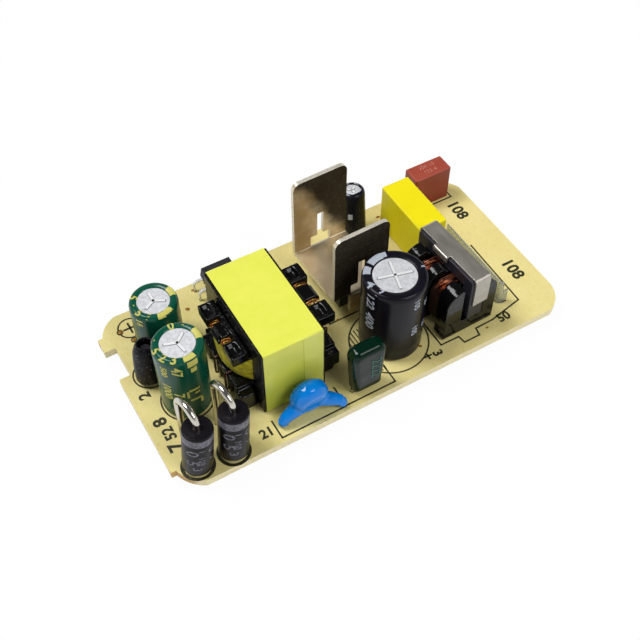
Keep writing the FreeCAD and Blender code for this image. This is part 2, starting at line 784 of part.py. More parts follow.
def heatsink():
    """A folded sheet; the middle of each fin is punched out and bent down as a foot."""
    x0, x1 = sink_x, sink_x + sink_width
    middle = (x0 + x1) / 2
    floor = sink_underside
    bend = sink_bend
    inner = sink_bend - sheet
    far = math.sqrt(0.5) * bend
    near = math.sqrt(0.5) * inner
    front, back = sink_y, sink_y + sink_depth
    front_top = floor + sink_front_height
    back_top = floor + sink_back_height

    def at(y, z):
        return V(x0, y, z)

    channel = outline(
        at(front, front_top),
        at(front, floor + bend),
        (at(front + bend - far, floor + bend - far), at(front + bend, floor)),
        at(back - bend, floor),
        (at(back - bend + far, floor + bend - far), at(back, floor + bend)),
        at(back, back_top),
        at(back - sheet, back_top),
        at(back - sheet, floor + bend),
        (at(back - bend + near, floor + bend - near), at(back - bend, floor + sheet)),
        at(front + bend, floor + sheet),
        (at(front + bend - near, floor + bend - near), at(front + sheet, floor + bend)),
        at(front + sheet, front_top)).extrude(V(sink_width, 0, 0))
    tops = (front_top - 0.01, back_top - 0.01)
    channel = filleted(
        channel, sink_corner,
        lambda centre, edge: is_along(edge, V(0, 1, 0)) and abs(edge.Length - sheet) < 1e-6
        and (centre.z > tops[1] or (centre.z > tops[0] and centre.y < front + sheet)))
    pin_half = slot_width / 2 - 0.05
    for face, inward in ((front, 1), (back, -1)):
        def across(near_y, far_y, half, z0, z1):
            ends = sorted((face + inward * near_y, face + inward * far_y))
            return box(middle - half, middle + half, ends[0], ends[1], z0, z1)

        channel = channel.cut(across(-1, bend, foot_width / 2, floor - 1, floor + foot_window))
        channel = channel.cut(across(-1, bend, slot_width / 2, floor, floor + slot_top))
        neck = floor + sheet - bend

        def down(depth, z):
            return V(middle - foot_width / 2, face + inward * depth, z)

        foot = outline(
            down(bend, floor + sheet),
            (down(bend - far, neck + far), down(0, neck)),
            down(0, foot_standoff),
            down(sheet, foot_standoff),
            down(sheet, neck),
            (down(bend - near, neck + near), down(bend, floor))).extrude(V(foot_width, 0, 0))
        pin = across(0, sheet, pin_half, solder_side, foot_standoff)
        channel = channel.fuse(foot).fuse(pin)
        spot = aslant(middle, face + inward * sheet / 2)
        flat_joint(spot.x, spot.y, pin_half, sheet / 2)
    add_aslant("heatsink", channel.removeSplitter())


heatsink()


def power_transistor():
    """A flat package bonded under the heatsink's floor, its leads bent down at the back."""
    x0 = sink_x + transistor_edge
    x1 = x0 + transistor_width
    middle = (x0 + x1) / 2
    y0 = sink_y + sheet + transistor_front_gap
    y1 = y0 + transistor_length
    low = sink_underside - transistor_height
    body = box(x0, x1, y0, y1, low, sink_underside)
    body = body.cut(rod(middle, y0 + transistor_hole_place, low, sink_underside, transistor_hole_radius))
    add_aslant("power_transistor_body", body)
    lead_z = low + transistor_lead_rise
    lead_y = y1 + transistor_lead_reach
    for number in (-1, 0, 1):
        lead_x = middle + number * transistor_lead_pitch
        corners = [V(lead_x, y1, lead_z), V(lead_x, lead_y, lead_z), V(lead_x, lead_y, solder_side)]
        lead = flat_wire(corners, 0, transistor_lead_thickness, transistor_lead_width, V(1, 0, 0))
        add_aslant("power_transistor_leads", lead)
        spot = aslant(lead_x, lead_y)
        flat_joint(spot.x, spot.y, transistor_lead_width / 2, transistor_lead_thickness / 2)


power_transistor()


def disc_capacitor(x, y):
    """A ceramic disc dipped in resin that has run down both of its splayed leads."""
    centre = V(x, y + disc_centre_back, disc_height)
    half = disc_thickness / 2
    edge = disc_edge / 2
    disc = turned(
        0, 0,
        (0, -half), (disc_rim, -half), (disc_radius, -edge), (disc_radius, edge),
        (disc_rim, half), (0, half))
    disc.rotate(V(0, 0, 0), V(1, 0, 0), 90 + disc_lean_deg)
    disc.translate(centre)
    for side in (-1, 1):
        foot_x = x + side * disc_pitch / 2
        foot_y = y - side * disc_skew
        root = centre + V(side * 1.2, 0, -1.3)
        knee = V(foot_x, foot_y, disc_leg_knee)
        along = (knee - root).normalize()
        leg = tapered(ring(root, along, disc_leg_root, wire_sides),
                      ring(knee, along, disc_leg_radius, wire_sides))
        shin = faceted_rod(foot_x, foot_y, disc_leg_height, disc_leg_knee, disc_leg_radius, wire_sides)
        disc = disc.fuse(leg).fuse(shin)
        straight_lead("disc_capacitor_leads", foot_x, foot_y, disc_leg_height, disc_lead_radius)
    add("disc_capacitor_body", disc.removeSplitter())


disc_capacitor(disc_x, disc_y)


def moulded_box(x, y, length, width, z0, z1, bevel):
    """A box about its middle, every edge bevelled but those of its underside."""
    solid = box(x - length / 2, x + length / 2, y - width / 2, y + width / 2, z0, z1)
    return solid.makeChamfer(bevel, [e for e in solid.Edges if e.CenterOfMass.z > z0 + 1e-6])


def film_capacitor():
    """A dipped body, narrower at its foot, with round shoulders and bevelled faces."""
    front = film_y - film_thickness / 2
    low = film_standoff
    high = low + film_height
    wide = film_width / 2
    foot = film_foot_width / 2
    slack = film_round * (1 - math.sqrt(0.5))

    def at(x, z):
        return V(film_x + x, front, z)

    body = outline(
        at(-foot, low), at(foot, low), at(wide, high - film_round),
        (at(wide - slack, high - slack), at(wide - film_round, high)),
        at(film_round - wide, high),
        (at(slack - wide, high - slack), at(-wide, high - film_round))).extrude(V(0, film_thickness, 0))
    rims = [edge for edge in body.Edges if abs(abs(edge.CenterOfMass.y - film_y) - film_thickness / 2) < 1e-6]
    add("film_capacitor_body", body.makeChamfer(film_bevel, rims))
    lead_pair("film_capacitor_leads", film_x, film_y, film_pitch, film_standoff, film_lead_radius)


# Film capacitor, line capacitor and fuse
film_capacitor()
case = moulded_box(box_cap_x, box_cap_y, box_cap_width, box_cap_length, box_cap_foot,
                   box_cap_height, box_cap_bevel)
for end in (-1, 1):
    foot_y = box_cap_y + end * (box_cap_length / 2 - box_cap_bevel - box_cap_foot_length / 2)
    case = case.fuse(box(
        box_cap_x - box_cap_width / 2 + box_cap_bevel, box_cap_x + box_cap_width / 2 - box_cap_bevel,
        foot_y - box_cap_foot_length / 2, foot_y + box_cap_foot_length / 2, 0, box_cap_foot))
add("line_capacitor_body", case.removeSplitter())
lead_pair("line_capacitor_leads", box_cap_x, box_cap_y, box_cap_length - 2 * box_cap_lead_inset,
          box_cap_foot, box_cap_lead_radius, along_x=False)

add("fuse_body", moulded_box(fuse_x, fuse_y, fuse_length, fuse_width, 0, fuse_height, fuse_bevel))
lead_pair("fuse_leads", fuse_x, fuse_y, fuse_pitch, 0, fuse_lead_radius)


def choke_outline(y, half_width, low, high, radius, low_radius=0):
    """An upright plate outline across the choke, its corners rounded."""
    def at(x, z):
        return V(x, y, z)

    def arc(x, z, turn_deg, size):
        angle = math.radians(turn_deg)
        return at(x + size * math.cos(angle), z + size * math.sin(angle))

    left, right = -half_width, half_width
    steps = [at(left, low + low_radius)]
    if low_radius:
        steps.append((arc(left + low_radius, low + low_radius, 225, low_radius), at(left + low_radius, low)))
        steps.append(at(right - low_radius, low))
        steps.append((arc(right - low_radius, low + low_radius, 315, low_radius), at(right, low + low_radius)))
    else:
        steps.append(at(right, low))
    steps.append(at(right, high - radius))
    steps.append((arc(right - radius, high - radius, 45, radius), at(right - radius, high)))
    steps.append(at(left + radius, high))
    steps.append((arc(left + radius, high - radius, 135, radius), at(left, high - radius)))
    return outline(*steps)


def choke():
    """A closed ferrite loop on edge, wound on its lower leg and clamped by a sprung strap."""
    turn = FreeCAD.Rotation(UP, choke_skew_deg)
    place = V(choke_x, choke_y, 0)

    def put(node, solid, skew_deg=choke_skew_deg):
        solid.rotate(V(0, 0, 0), UP, skew_deg)
        solid.translate(place)
        add(node, solid)

    base, top = choke_core_base, choke_core_top
    half = choke_core_length / 2
    core_left = choke_core_shift - choke_core_width / 2
    core_right = choke_core_shift + choke_core_width / 2
    core = box(core_left, core_right, -half, 0, base, top)
    core = core.cut(box(core_left, core_right, choke_yoke - half, 0, base + choke_leg, top - choke_leg))
    bevel = choke_core_bevel
    core = core.makeChamfer(bevel, [e for e in core.Edges if is_along(e, V(1, 0, 0))
                                    and e.CenterOfMass.z > top - 1e-6 and e.CenterOfMass.y < 1e-6 - half])
    put("choke_core_back", core.mirror(V(0, 0, 0), V(0, 1, 0)), choke_core_skew_deg)
    put("choke_core_front", core, choke_core_skew_deg)

    # Bobbin, from the front: blocks beside the yoke, flange, middle flange, back flange, blocks
    gap = seat_clearance
    left, right = -choke_slot_left, choke_slot_right
    stations = [choke_setback - half]
    for length in (choke_yoke - choke_setback + 2 * gap, choke_flange, choke_section, choke_middle_flange,
                   choke_section, choke_back_flange, choke_back_block):
        stations.append(stations[-1] + length)
    front, flange, coil_1, middle, coil_2, back, block, end = stations
    wide = choke_half_width
    plates = []
    for y0, y1 in ((front, coil_1), (middle, coil_2), (back, end)):
        plate = choke_outline(y0, wide, choke_standoff, choke_block_top, choke_round)
        plates.append(plate.extrude(V(0, y1 - y0, 0)))
    tube_left, tube_right = left - choke_tube_wall, right + choke_tube_wall
    tube_low = base - gap - choke_tube_wall
    tube_high = base + choke_leg + gap + choke_tube_wall
    tube = box(tube_left, tube_right, coil_1, back, tube_low, tube_high)
    bobbin = plates[0].multiFuse(plates[1:] + [tube])
    bobbin = bobbin.cut(box(left, right, front - 1, end + 1, base - gap, base + choke_leg + gap))
    bobbin = bobbin.cut(box(left, right, front - 1, end + 1, top - choke_leg - gap, top))
    bobbin = bobbin.cut(box(left, right, front - 1, flange, base, top))
    bobbin = bobbin.cut(box(left, right, block, end + 1, base, top))
    put("choke_bobbin", bobbin.removeSplitter())

    inset = choke_winding_inset
    coil_top = top - choke_leg - choke_winding_top_gap
    coil_round = choke_round - inset
    for node, y0, y1 in (("choke_winding_front", coil_1, middle), ("choke_winding_back", coil_2, back)):
        face = choke_outline(y0, wide - inset, choke_standoff + inset, coil_top, coil_round, coil_round)
        coil = face.extrude(V(0, y1 - y0, 0))
        put(node, coil.cut(box(tube_left, tube_right, y0, y1, tube_low, tube_high)))

    # Clamp: over the top and down both yokes, with a tab folded down on the output side
    strap_z = top + clamp_thickness / 2
    strap_y = half + clamp_thickness / 2
    strap_low = top + clamp_thickness - clamp_leg
    corners = [V(clamp_shift, -strap_y, strap_low), V(clamp_shift, -strap_y, strap_z),
               V(clamp_shift, strap_y, strap_z), V(clamp_shift, strap_y, strap_low)]
    strap = flat_wire(corners, clamp_bend - clamp_thickness / 2, clamp_thickness, clamp_width, V(1, 0, 0))
    edge = clamp_shift - clamp_width / 2
    fold = core_left - gap / 2
    outer = fold - clamp_thickness
    tab_y = clamp_tab_place - clamp_tab_length / 2
    crown = top + clamp_thickness
    lift = clamp_thickness * (1 - math.sqrt(0.5))
    tab = outline(
        V(edge, tab_y, top), V(edge, tab_y, crown), V(fold, tab_y, crown),
        (V(outer + lift, tab_y, crown - lift), V(outer, tab_y, top)),
        V(outer, tab_y, crown - clamp_tab_drop), V(fold, tab_y, crown - clamp_tab_drop),
        V(fold, tab_y, top)).extrude(V(0, clamp_tab_length, 0))
    put("choke_clamp", strap.fuse(tab).removeSplitter(), choke_core_skew_deg)

    for side in (-1, 1):
        for pin_y in (front + choke_pin_inset, end - choke_pin_inset):
            spot = turn.multVec(V(side * (wide - choke_pin_inset), pin_y, 0)) + place
            straight_lead("choke_pins", spot.x, spot.y, choke_standoff, choke_pin_radius)


choke()


def insulating_film():
    """A stiff film that stands beside the choke, hooked into a slot at its front end."""
    x = choke_x + choke_half_width + film_choke_gap
    front = film_front_y
    middle = film_wall_height / 2
    reach = x + film_hook_reach
    corners = [V(x, front + film_wall_length, middle), V(x, front, middle), V(reach, front, middle)]
    film = flat_wire(corners, film_hook_radius, film_wall, film_wall_height, UP)
    half = film_wall / 2
    tab_start = reach - film_tab_length
    film = film.cut(box(x + film_hook_radius, reach + 1, front - 1, front + 1,
                        film_hook_height, film_wall_height + 1))
    film = film.fuse(box(tab_start, reach, front - half, front + half, solder_side, 0))
    add("insulating_film", film.removeSplitter())
    slack = film_slot_clearance
    holes.append(box(tab_start - slack, reach + slack, front - half - slack, front + half + slack,
                     solder_side, 0))


insulating_film()


def chip(node, x, y, length, width, height, pitch, count, lead_width):
    """A leaded chip on the solder side; its leads leave the two sides that face along y."""
    top = solder_side - chip_gap
    bottom = solder_side - height
    body = box(x - length / 2, x + length / 2, y - width / 2, y + width / 2, bottom, top)
    middle = (top + bottom) / 2
    thick = chip_lead_thickness
    knee = chip_lead_reach * 0.45
    for side in (-1, 1):
        for number in range(count):
            lead_x = x + (number - (count - 1) / 2) * pitch - lead_width / 2

            def at(out, z):
                return V(lead_x, y + side * (width / 2 + out), z)

            lead = outline(
                at(-0.1, middle), at(knee - thick, middle), at(knee - thick, solder_side),
                at(chip_lead_reach, solder_side), at(chip_lead_reach, solder_side - thick),
                at(knee, solder_side - thick), at(knee, middle - thick), at(-0.1, middle - thick))
            body = body.fuse(lead.extrude(V(lead_width, 0, 0)))
    add(node, body.removeSplitter())


# Chips on the solder side: the controller under the transistor, the bridge by the line capacitor
controller_x = sink_x + sink_width / 2
controller_y = sink_y + sink_depth / 2
chip("controller_chip", controller_x, controller_y, controller_length, controller_width,
     controller_height, controller_lead_pitch, 4, controller_lead_width)
bridge_x = box_cap_x - box_cap_width - 0.4
chip("bridge_rectifier", bridge_x, box_cap_y - 1.5, bridge_length, bridge_width,
     bridge_height, bridge_lead_pitch, 2, bridge_lead_width)
for row in range(3):
    x = controller_x + sink_width / 2 + 0.6
    y = controller_y + (row - 1) * resistor_pitch
    add("chip_resistors", box(x - resistor_width / 2, x + resistor_width / 2,
                              y - resistor_length / 2 + 0.5, y + resistor_length / 2 - 0.5,
                              solder_side - resistor_height, solder_side))


def board():
    """The laminate: arcs at the corners, a snapped tab and a notch at the output end."""
    def at(x, y):
        return V(x, y, solder_side)

    def corner(start, end, bulge):
        chord = end - start
        outward = V(chord.y, -chord.x, 0).normalize()
        return start + chord * 0.5 + outward * bulge, end

    length, width = board_length, board_width
    left = snap_step
    run = snap_step + left_corner_run
    right = length - right_corner_run
    notch_high = width - notch_back_margin
    notch_low = notch_high - notch_width
    back_left = width - back_left_rise
    back_right = width - back_right_rise
    panel = outline(
        at(run, 0),
        at(right, 0),
        corner(at(right, 0), at(length, right_corner_rise), right_corner_bulge),
        at(length, back_right),
        corner(at(length, back_right), at(right, width), right_corner_bulge / 2),
        at(run, width),
        corner(at(run, width), at(left, back_left), left_corner_bulge),
        at(0, back_left),
        at(0, notch_high),
        at(notch_depth, notch_high),
        at(notch_depth, notch_low),
        at(0, notch_low),
        at(0, front_left_rise),
        at(left, front_left_rise),
        corner(at(left, front_left_rise), at(run, 0), left_corner_bulge))
    panel = panel.extrude(V(0, 0, board_thickness))
    wire_y = width - wire_hole_back_margin
    spare_x = filter_cap_x + filter_cap_diameter / 2 + spare_hole_gap_x
    holes.append(rod(wire_hole_from_edge, wire_y, solder_side, 0, wire_hole_radius))
    holes.append(rod(wire_hole_from_edge + wire_hole_spacing_x, wire_y - wire_hole_spacing_y,
                     solder_side, 0, wire_hole_radius))
    holes.append(faceted_rod(spare_x, width - spare_hole_back_margin, solder_side, 0, spare_hole_radius))
    add("circuit_board", panel.cut(Part.makeCompound(holes)))


board()

# The part's own frame: origin in the middle of the outline, on the tips of the solder
os.makedirs("parts", exist_ok=True)
offset = V(-board_length / 2, -board_width / 2, solder_height - solder_side)
for node, solids in parts.items():
    shape = solids[0] if len(solids) == 1 else Part.makeCompound(solids)
    shape.translate(offset)
    shape.exportStep("parts/%s.step" % node)
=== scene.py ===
from math import atan2, cos, dist, hypot, radians, sin, sqrt

import bpy
from mathutils import Matrix, Vector


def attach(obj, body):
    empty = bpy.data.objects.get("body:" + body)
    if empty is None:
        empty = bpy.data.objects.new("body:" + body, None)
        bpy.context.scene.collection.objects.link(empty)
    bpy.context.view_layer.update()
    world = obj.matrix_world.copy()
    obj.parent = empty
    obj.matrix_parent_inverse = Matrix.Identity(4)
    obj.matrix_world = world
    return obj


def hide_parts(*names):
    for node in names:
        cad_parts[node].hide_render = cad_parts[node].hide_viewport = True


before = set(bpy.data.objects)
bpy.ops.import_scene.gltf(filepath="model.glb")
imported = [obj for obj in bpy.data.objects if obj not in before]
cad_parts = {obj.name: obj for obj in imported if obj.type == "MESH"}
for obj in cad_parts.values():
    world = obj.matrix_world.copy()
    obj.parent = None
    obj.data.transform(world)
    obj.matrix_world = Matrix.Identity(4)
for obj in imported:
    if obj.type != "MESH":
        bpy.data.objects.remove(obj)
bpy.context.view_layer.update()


# Circuit board
# A cream paper-and-glass laminate, punched to shape and snapped off a panel at its left end.
# The component side is bare with dark green printing; the solder side has a green lacquer
# over the copper. Places on it are in millimetres from its left front corner.
mm = 0.001
board_corner = Vector((-39.5, -19.5, 3.6))
board_thickness = 1.6


def spot(x, y, z=0.0):
    """A place above the component side, in the part's own frame."""
    return (Vector((x, y, z)) + board_corner) * mm


def tint(red, green, blue):
    """A colour written as it looks on screen, 0 to 255."""
    channels = []
    for value in (red, green, blue):
        value /= 255
        channels.append(value / 12.92 if value <= 0.04045 else ((value + 0.055) / 1.055) ** 2.4)
    return (*channels, 1.0)


class Level:
    """A value that varies from place to place; arithmetic on it adds Math nodes."""

    def __init__(self, nodes, socket):
        self.nodes = nodes
        self.socket = socket

    def arithmetic(self, operation, first, second=0.0):
        return self.nodes.node("Math", {"operation": operation}, {0: first, 1: second})

    def __add__(self, other):
        return self.arithmetic("ADD", self, other)

    __radd__ = __add__

    def __sub__(self, other):
        return self.arithmetic("SUBTRACT", self, other)

    def __rsub__(self, other):
        return self.arithmetic("SUBTRACT", other, self)

    def __mul__(self, other):
        return self.arithmetic("MULTIPLY", self, other)

    __rmul__ = __mul__

    def __truediv__(self, other):
        return self.arithmetic("DIVIDE", self, other)

    def largest(self, other):
        return self.arithmetic("MAXIMUM", self, other)

    def size(self):
        return self.arithmetic("ABSOLUTE", self)

    def beyond(self, edge, blur):
        """0 below the edge and 1 above it, with a soft step between."""
        settings = {"interpolation_type": "SMOOTHSTEP"}
        sockets = {"Value": self, "From Min": edge - blur / 2, "From Max": edge + blur / 2}
        return self.nodes.node("MapRange", settings, sockets)


class Nodes:
    """The nodes of a finish, or of the light round the supply."""

    def __init__(self, tree):
        self.tree = tree

    def feed(self, socket, value):
        if isinstance(value, Level):
            self.tree.links.new(value.socket, socket)
        else:
            socket.default_value = value

    def node(self, kind, settings, sockets, output=0):
        """A new node: its settings come first, then a value or a link for each socket."""
        made = self.tree.nodes.new("ShaderNode" + kind)
        for name, value in settings.items():
            setattr(made, name, value)
        for name, value in sockets.items():
            self.feed(made.inputs[name], value)
        return Level(self, made.outputs[output])


class Finish(Nodes):
    """A surface finish, laid up from Object coordinates."""

    def __init__(self, name, colour, roughness, gloss=0.34, **constants):
        self.material = bpy.data.materials.new(name)
        self.material.use_nodes = True
        super().__init__(self.material.node_tree)
        self.shader = self.tree.nodes["Principled BSDF"]
        self.set("Base Color", colour)
        self.set("Roughness", roughness)
        self.set("Specular IOR Level", gloss)
        for socket, value in constants.items():
            self.set(socket.replace("_", " "), value)

    def set(self, socket, value):
        self.feed(self.shader.inputs[socket], value)

    def place(self):
        return self.node("TexCoord", {}, {}, "Object")

    def across(self, axis):
        """The place along one axis, in millimetres."""
        return self.node("SeparateXYZ", {}, {0: self.place()}, axis) / mm

    def facing(self, axis):
        """How far the surface faces along one axis."""
        normal = self.node("NewGeometry", {}, {}, "Normal")
        return self.node("SeparateXYZ", {}, {0: normal}, axis)

    def grain(self, size, detail=2.0, stretch=(1, 1, 1)):
        """Cloudy noise, its clouds about this many millimetres across."""
        sized = self.node("Mapping", {}, {"Vector": self.place(), "Scale": stretch})
        sockets = {"Vector": sized, "Scale": 1 / (size * mm), "Detail": detail}
        return self.node("TexNoise", {}, sockets)

    def specks(self, size):
        """Distance from the middles of scattered specks this many millimetres apart."""
        return self.node("TexVoronoi", {}, {"Vector": self.place(), "Scale": 1 / (size * mm)})

    def blend(self, mask, low, high):
        """One colour where the mask is 0 and another where it is 1."""
        return self.node("Mix", {"data_type": "RGBA"}, {0: mask, 6: low, 7: high}, 2)

    def paint(self, mask, low, high):
        """Colours the whole piece by a blend."""
        self.set("Base Color", self.blend(mask, low, high))

    def relief(self, height, depth, strength):
        """Roughens the surface by a height that varies from 0 to 1, depth in millimetres."""
        sockets = {"Height": height, "Distance": depth * mm, "Strength": strength}
        self.set("Normal", self.node("Bump", {}, sockets))


def clouded(name, roughness, size, detail, low, high, relief=None, **constants):
    """A finish that drifts between two colours in clouds about this many millimetres across.

    Where the clouds can be felt, relief gives their depth in millimetres and their strength.
    """
    middle = [(first + second) / 2 for first, second in zip(low, high)]
    finish = Finish(name, middle, roughness, **constants)
    clouds = finish.grain(size, detail)
    finish.paint(clouds, low, high)
    if relief:
        finish.relief(clouds, *relief)
    return finish


def wear(node, finish):
    """Gives a finish to a piece that keeps its CAD shape."""
    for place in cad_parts[node].material_slots:
        place.material = finish.material


laminate = Finish("laminate", tint(236, 217, 152), 0.5, IOR=1.45)
clouds = laminate.grain(5.0, 3)
fibres = laminate.grain(0.35, 2, (1, 0.25, 1))
cream = laminate.blend(clouds, tint(226, 210, 132), tint(240, 227, 160))
cream = laminate.blend((fibres - 0.5).size().beyond(0.14, 0.2) * 0.35, cream, tint(212, 192, 114))
top_face = laminate.facing("Z").beyond(0.5, 0.4)
sawn = laminate.blend(laminate.grain(0.5, 4), tint(230, 214, 160), tint(248, 238, 200))
snapped = laminate.across("X") * -1 + (laminate.grain(0.7, 3) - 0.5) * 1.6
brown_edge = snapped.beyond(36.6, 1.2) * laminate.across("Y").size().beyond(14.6, 1.0)
sawn = laminate.blend(brown_edge * 0.8, sawn, tint(192, 146, 66))
lacquer = laminate.blend(laminate.grain(2.5), tint(20, 84, 52), tint(34, 104, 66))
underside = (-1 * laminate.facing("Z")).beyond(0.5, 0.4)
colour = laminate.blend(top_face, sawn, cream)
laminate.paint(underside, colour, lacquer)
laminate.set("Roughness", 0.55 - 0.2 * underside)
laminate.relief(fibres * 0.6 + laminate.grain(0.12, 1) * 0.4, 0.02, 0.5)
wear("circuit_board", laminate)


def mode(name):
    """Opens the held piece for editing, or closes it again."""
    bpy.ops.object.mode_set(mode=name)


def alone():
    """Nothing stays selected, so that an operator acts on the new piece alone."""
    if bpy.context.object and bpy.context.object.mode != "OBJECT":
        mode("OBJECT")
    bpy.ops.object.select_all(action="DESELECT")


def hold(piece):
    """Selects one piece alone."""
    alone()
    piece.select_set(True)
    bpy.context.view_layer.objects.active = piece


def fixed(piece):
    """Leaves a piece's place and turn in its mesh."""
    hold(piece)
    bpy.ops.object.transform_apply(location=True, rotation=True, scale=True)
    return piece


def added(primitive, extent, **settings):
    """Adds a primitive by itself and gives it its size."""
    alone()
    primitive(**settings)
    piece = bpy.context.object
    piece.scale = extent
    return fixed(piece)


def joined(pieces, name):
    """Makes one named piece of several."""
    alone()
    for piece in pieces:
        piece.select_set(True)
    bpy.context.view_layer.objects.active = pieces[0]
    if len(pieces) > 1:
        bpy.ops.object.join()
    piece = bpy.context.object
    piece.name = piece.data.name = name
    return piece


def settle(piece, finish, slot, *nodes):
    """Finishes a piece, fixes it to the power supply and hides the CAD pieces it stands in for."""
    piece.data.materials.clear()
    piece.data.materials.append(finish.material)
    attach(piece, "root")
    if nodes:
        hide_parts(*nodes)
    return piece


# Printed marks on the component side
# Screen printed in one pass of dark green ink: rings and outlines for the pieces, polarity
# marks, and plain numbers. The rings at the feet of the two diodes are drawn wide so that they
# also hold painted shadow where the bodies stand on the board.
ink = Finish("legend_ink", tint(38, 52, 40), 0.6)
patchy = ink.grain(0.25, 2).beyond(0.62, 0.1)
ink.paint(patchy * 0.6, tint(38, 40, 24), tint(108, 100, 58))
ink_height = 0.03
ink_width = 0.3
hatch_width, plus_width, cross_width, foot_ring_and_shade_width = 0.22, 0.34, 0.4, 0.6
marks = []


def strokes(points, width, thickness, level, overrun=1.0):
    """Flat strips along points on the board, their middles at a level above it.

    Where strips overlap, every second one is a little higher, so that no two faces lie in one plane.
    """
    step = 0.004
    strips = []
    for number, ((x0, y0), (x1, y1)) in enumerate(zip(points, points[1:])):
        length = hypot(x1 - x0, y1 - y0) + width * overrun
        middle = spot((x0 + x1) / 2, (y0 + y1) / 2, level + number % 2 * step)
        turn = (0, 0, atan2(y1 - y0, x1 - x0))
        strips.append(added(bpy.ops.mesh.primitive_cube_add, (length, width, thickness), size=mm,
                            location=middle, rotation=turn))
    return strips


def written(text, height, thickness, resolution=3, boldness=0.0):
    """Plain figures about the origin, lying flat and reading along x."""
    alone()
    bpy.ops.object.text_add()
    figures = bpy.context.object
    figures.data.body = text
    figures.data.size = height * 1.4 * mm
    figures.data.extrude = thickness / 2 * mm
    figures.data.resolution_u = resolution
    figures.data.offset = boldness * height * mm
    figures.data.align_x = "CENTER"
    figures.data.align_y = "CENTER"
    bpy.ops.object.convert(target="MESH")
    return bpy.context.object


bulk_ring_x, bulk_ring_y, bulk_ring_radius = 45.43, 9.11, 7.2
# The wide rings at the diode feet are printed outline and painted contact shadow together.
for width, rings in (
        (ink_width, ((6.2, 35.16, 2.2), (5.2, 24.0, 3.0), (8.75, 16.15, 4.62), (9.9, 29.4, 4.55),
                     (bulk_ring_x, bulk_ring_y, bulk_ring_radius), (53.7, 34.9, 2.75))),
        (foot_ring_and_shade_width, ((4.5, 3.3, 2.66), (10.84, 2.75, 2.66)))):
    for x, y, radius in rings:
        marks.append(added(
            bpy.ops.mesh.primitive_torus_add, (1, 1, ink_height / width), major_radius=radius * mm,
            minor_radius=width / 2 * mm, major_segments=72, minor_segments=6,
            location=spot(x, y, ink_height / 2)))
hatch = []
for number in range(5):
    x = 38.9 + number * 0.7
    reach = min(sqrt((bulk_ring_radius - 0.1) ** 2 - (bulk_ring_x - x) ** 2), 5.0)
    hatch.append(((x, bulk_ring_y - reach), (x, bulk_ring_y + reach)))
for width, lines in (
        (hatch_width, hatch),
        (cross_width, (((5.1, 35.16), (7.3, 35.16)), ((6.2, 34.06), (6.2, 36.26)))),
        (plus_width, (((49.6, 2.0), (49.6, 3.2)), ((49.0, 2.6), (50.2, 2.6)))),
        (ink_width, (
            ((38.1, 32.2), (38.1, 17.6), (50.3, 17.6), (50.3, 32.2)),
            ((52.9, 20.4), (53.0, 3.45), (56.8, 3.4), (57.0, 1.85), (60.3, 1.85), (60.6, 3.4),
             (64.4, 3.5), (71.4, 4.9), (71.7, 20.4)),
            ((19.0, 0.9), (31.4, 0.9)),
            ((19.0, 0.9), (19.0, 4.6)),
            ((31.6, 5.2), (31.6, 1.0), (41.6, 1.0), (41.6, 5.2)),
            ((58.6, 20.7), (65.8, 20.7), (65.8, 34.6), (58.6, 34.6)),
            ((66.8, 33.4), (76.0, 33.4), (76.0, 38.5)),
            ((32.2, 33.0), (32.2, 38.3))))):
    for points in lines:
        marks += strokes(points, width, ink_height, ink_height / 2)
for text, x, y, height, turn_deg in (
        ("108", 74.9, 29.6, 2.4, -90), ("108", 75.0, 11.5, 2.4, -90), ("50", 66.6, 3.0, 1.8, 0),
        ("3", 51.4, 2.3, 1.8, -90), ("21", 17.2, 3.0, 1.8, 0), ("8", 2.6, 14.0, 2.3, 90),
        ("52", 3.0, 11.2, 1.9, 90), ("7", 2.9, 8.3, 2.4, 90), ("2", 2.5, 20.2, 2.0, 90),
        ("14", 56.9, 30.2, 1.6, 0), ("6", 15.8, 24.6, 1.6, 0)):
    figures = written(text, height, ink_height, boldness=0.045)
    figures.location = spot(x, y, ink_height / 2)
    figures.rotation_euler.z = radians(turn_deg)
    marks.append(fixed(figures))
settle(joined(marks, "board_legend"), ink, "laminate")


# Solder joints
# Tin alloy drawn up each cut lead by a wave of solder: a smooth fillet that narrows to the
# end of the lead. One is turned, then copied over every lead that comes through the board.
def edit_all():
    """Opens the held piece for editing, with all of it selected."""
    mode("EDIT")
    bpy.ops.mesh.select_all(action="SELECT")


def face_out():
    """Turns every face of the opened piece outwards, and closes it."""
    bpy.ops.mesh.select_all(action="SELECT")
    bpy.ops.mesh.normals_make_consistent(inside=False)
    mode("OBJECT")


def ring_stack(name, profile, sides=48, bottom=True):
    """A round form raised from a circle, ring by ring, by (radius, height) in millimetres."""
    alone()
    radius, height = profile[0]
    fill = "NGON" if bottom else "NOTHING"
    bpy.ops.mesh.primitive_circle_add(vertices=sides, radius=radius * mm, fill_type=fill,
                                      location=(0, 0, height * mm))
    piece = bpy.context.object
    piece.name = piece.data.name = name
    fixed(piece)
    edit_all()
    for next_radius, next_height in profile[1:]:
        move = {"value": (0, 0, (next_height - height) * mm)}
        if bottom:
            bpy.ops.mesh.extrude_region_move(TRANSFORM_OT_translate=move)
        else:
            bpy.ops.mesh.extrude_edges_move(TRANSFORM_OT_translate=move)
        ratio = next_radius / radius
        bpy.ops.transform.resize(value=(ratio, ratio, 1), center_override=(0, 0, next_height * mm))
        radius, height = next_radius, next_height
    face_out()
    return piece


def smooth(piece, angle_deg):
    """Shades a piece smooth, apart from edges sharper than this angle."""
    hold(piece)
    bpy.ops.object.shade_smooth_by_angle(angle=radians(angle_deg))
    return piece


def copied(piece):
    """A copy with its own mesh."""
    hold(piece)
    bpy.ops.object.duplicate()
    return bpy.context.object


solder = Finish("solder", tint(196, 198, 196), 0.28, Metallic=1.0)
frost = solder.grain(0.5, 4)
solder.paint(frost, tint(168, 170, 168), tint(214, 216, 214))
solder.set("Roughness", 0.2 + 0.25 * frost)
solder.relief(solder.grain(0.25, 2), 0.03, 0.6)

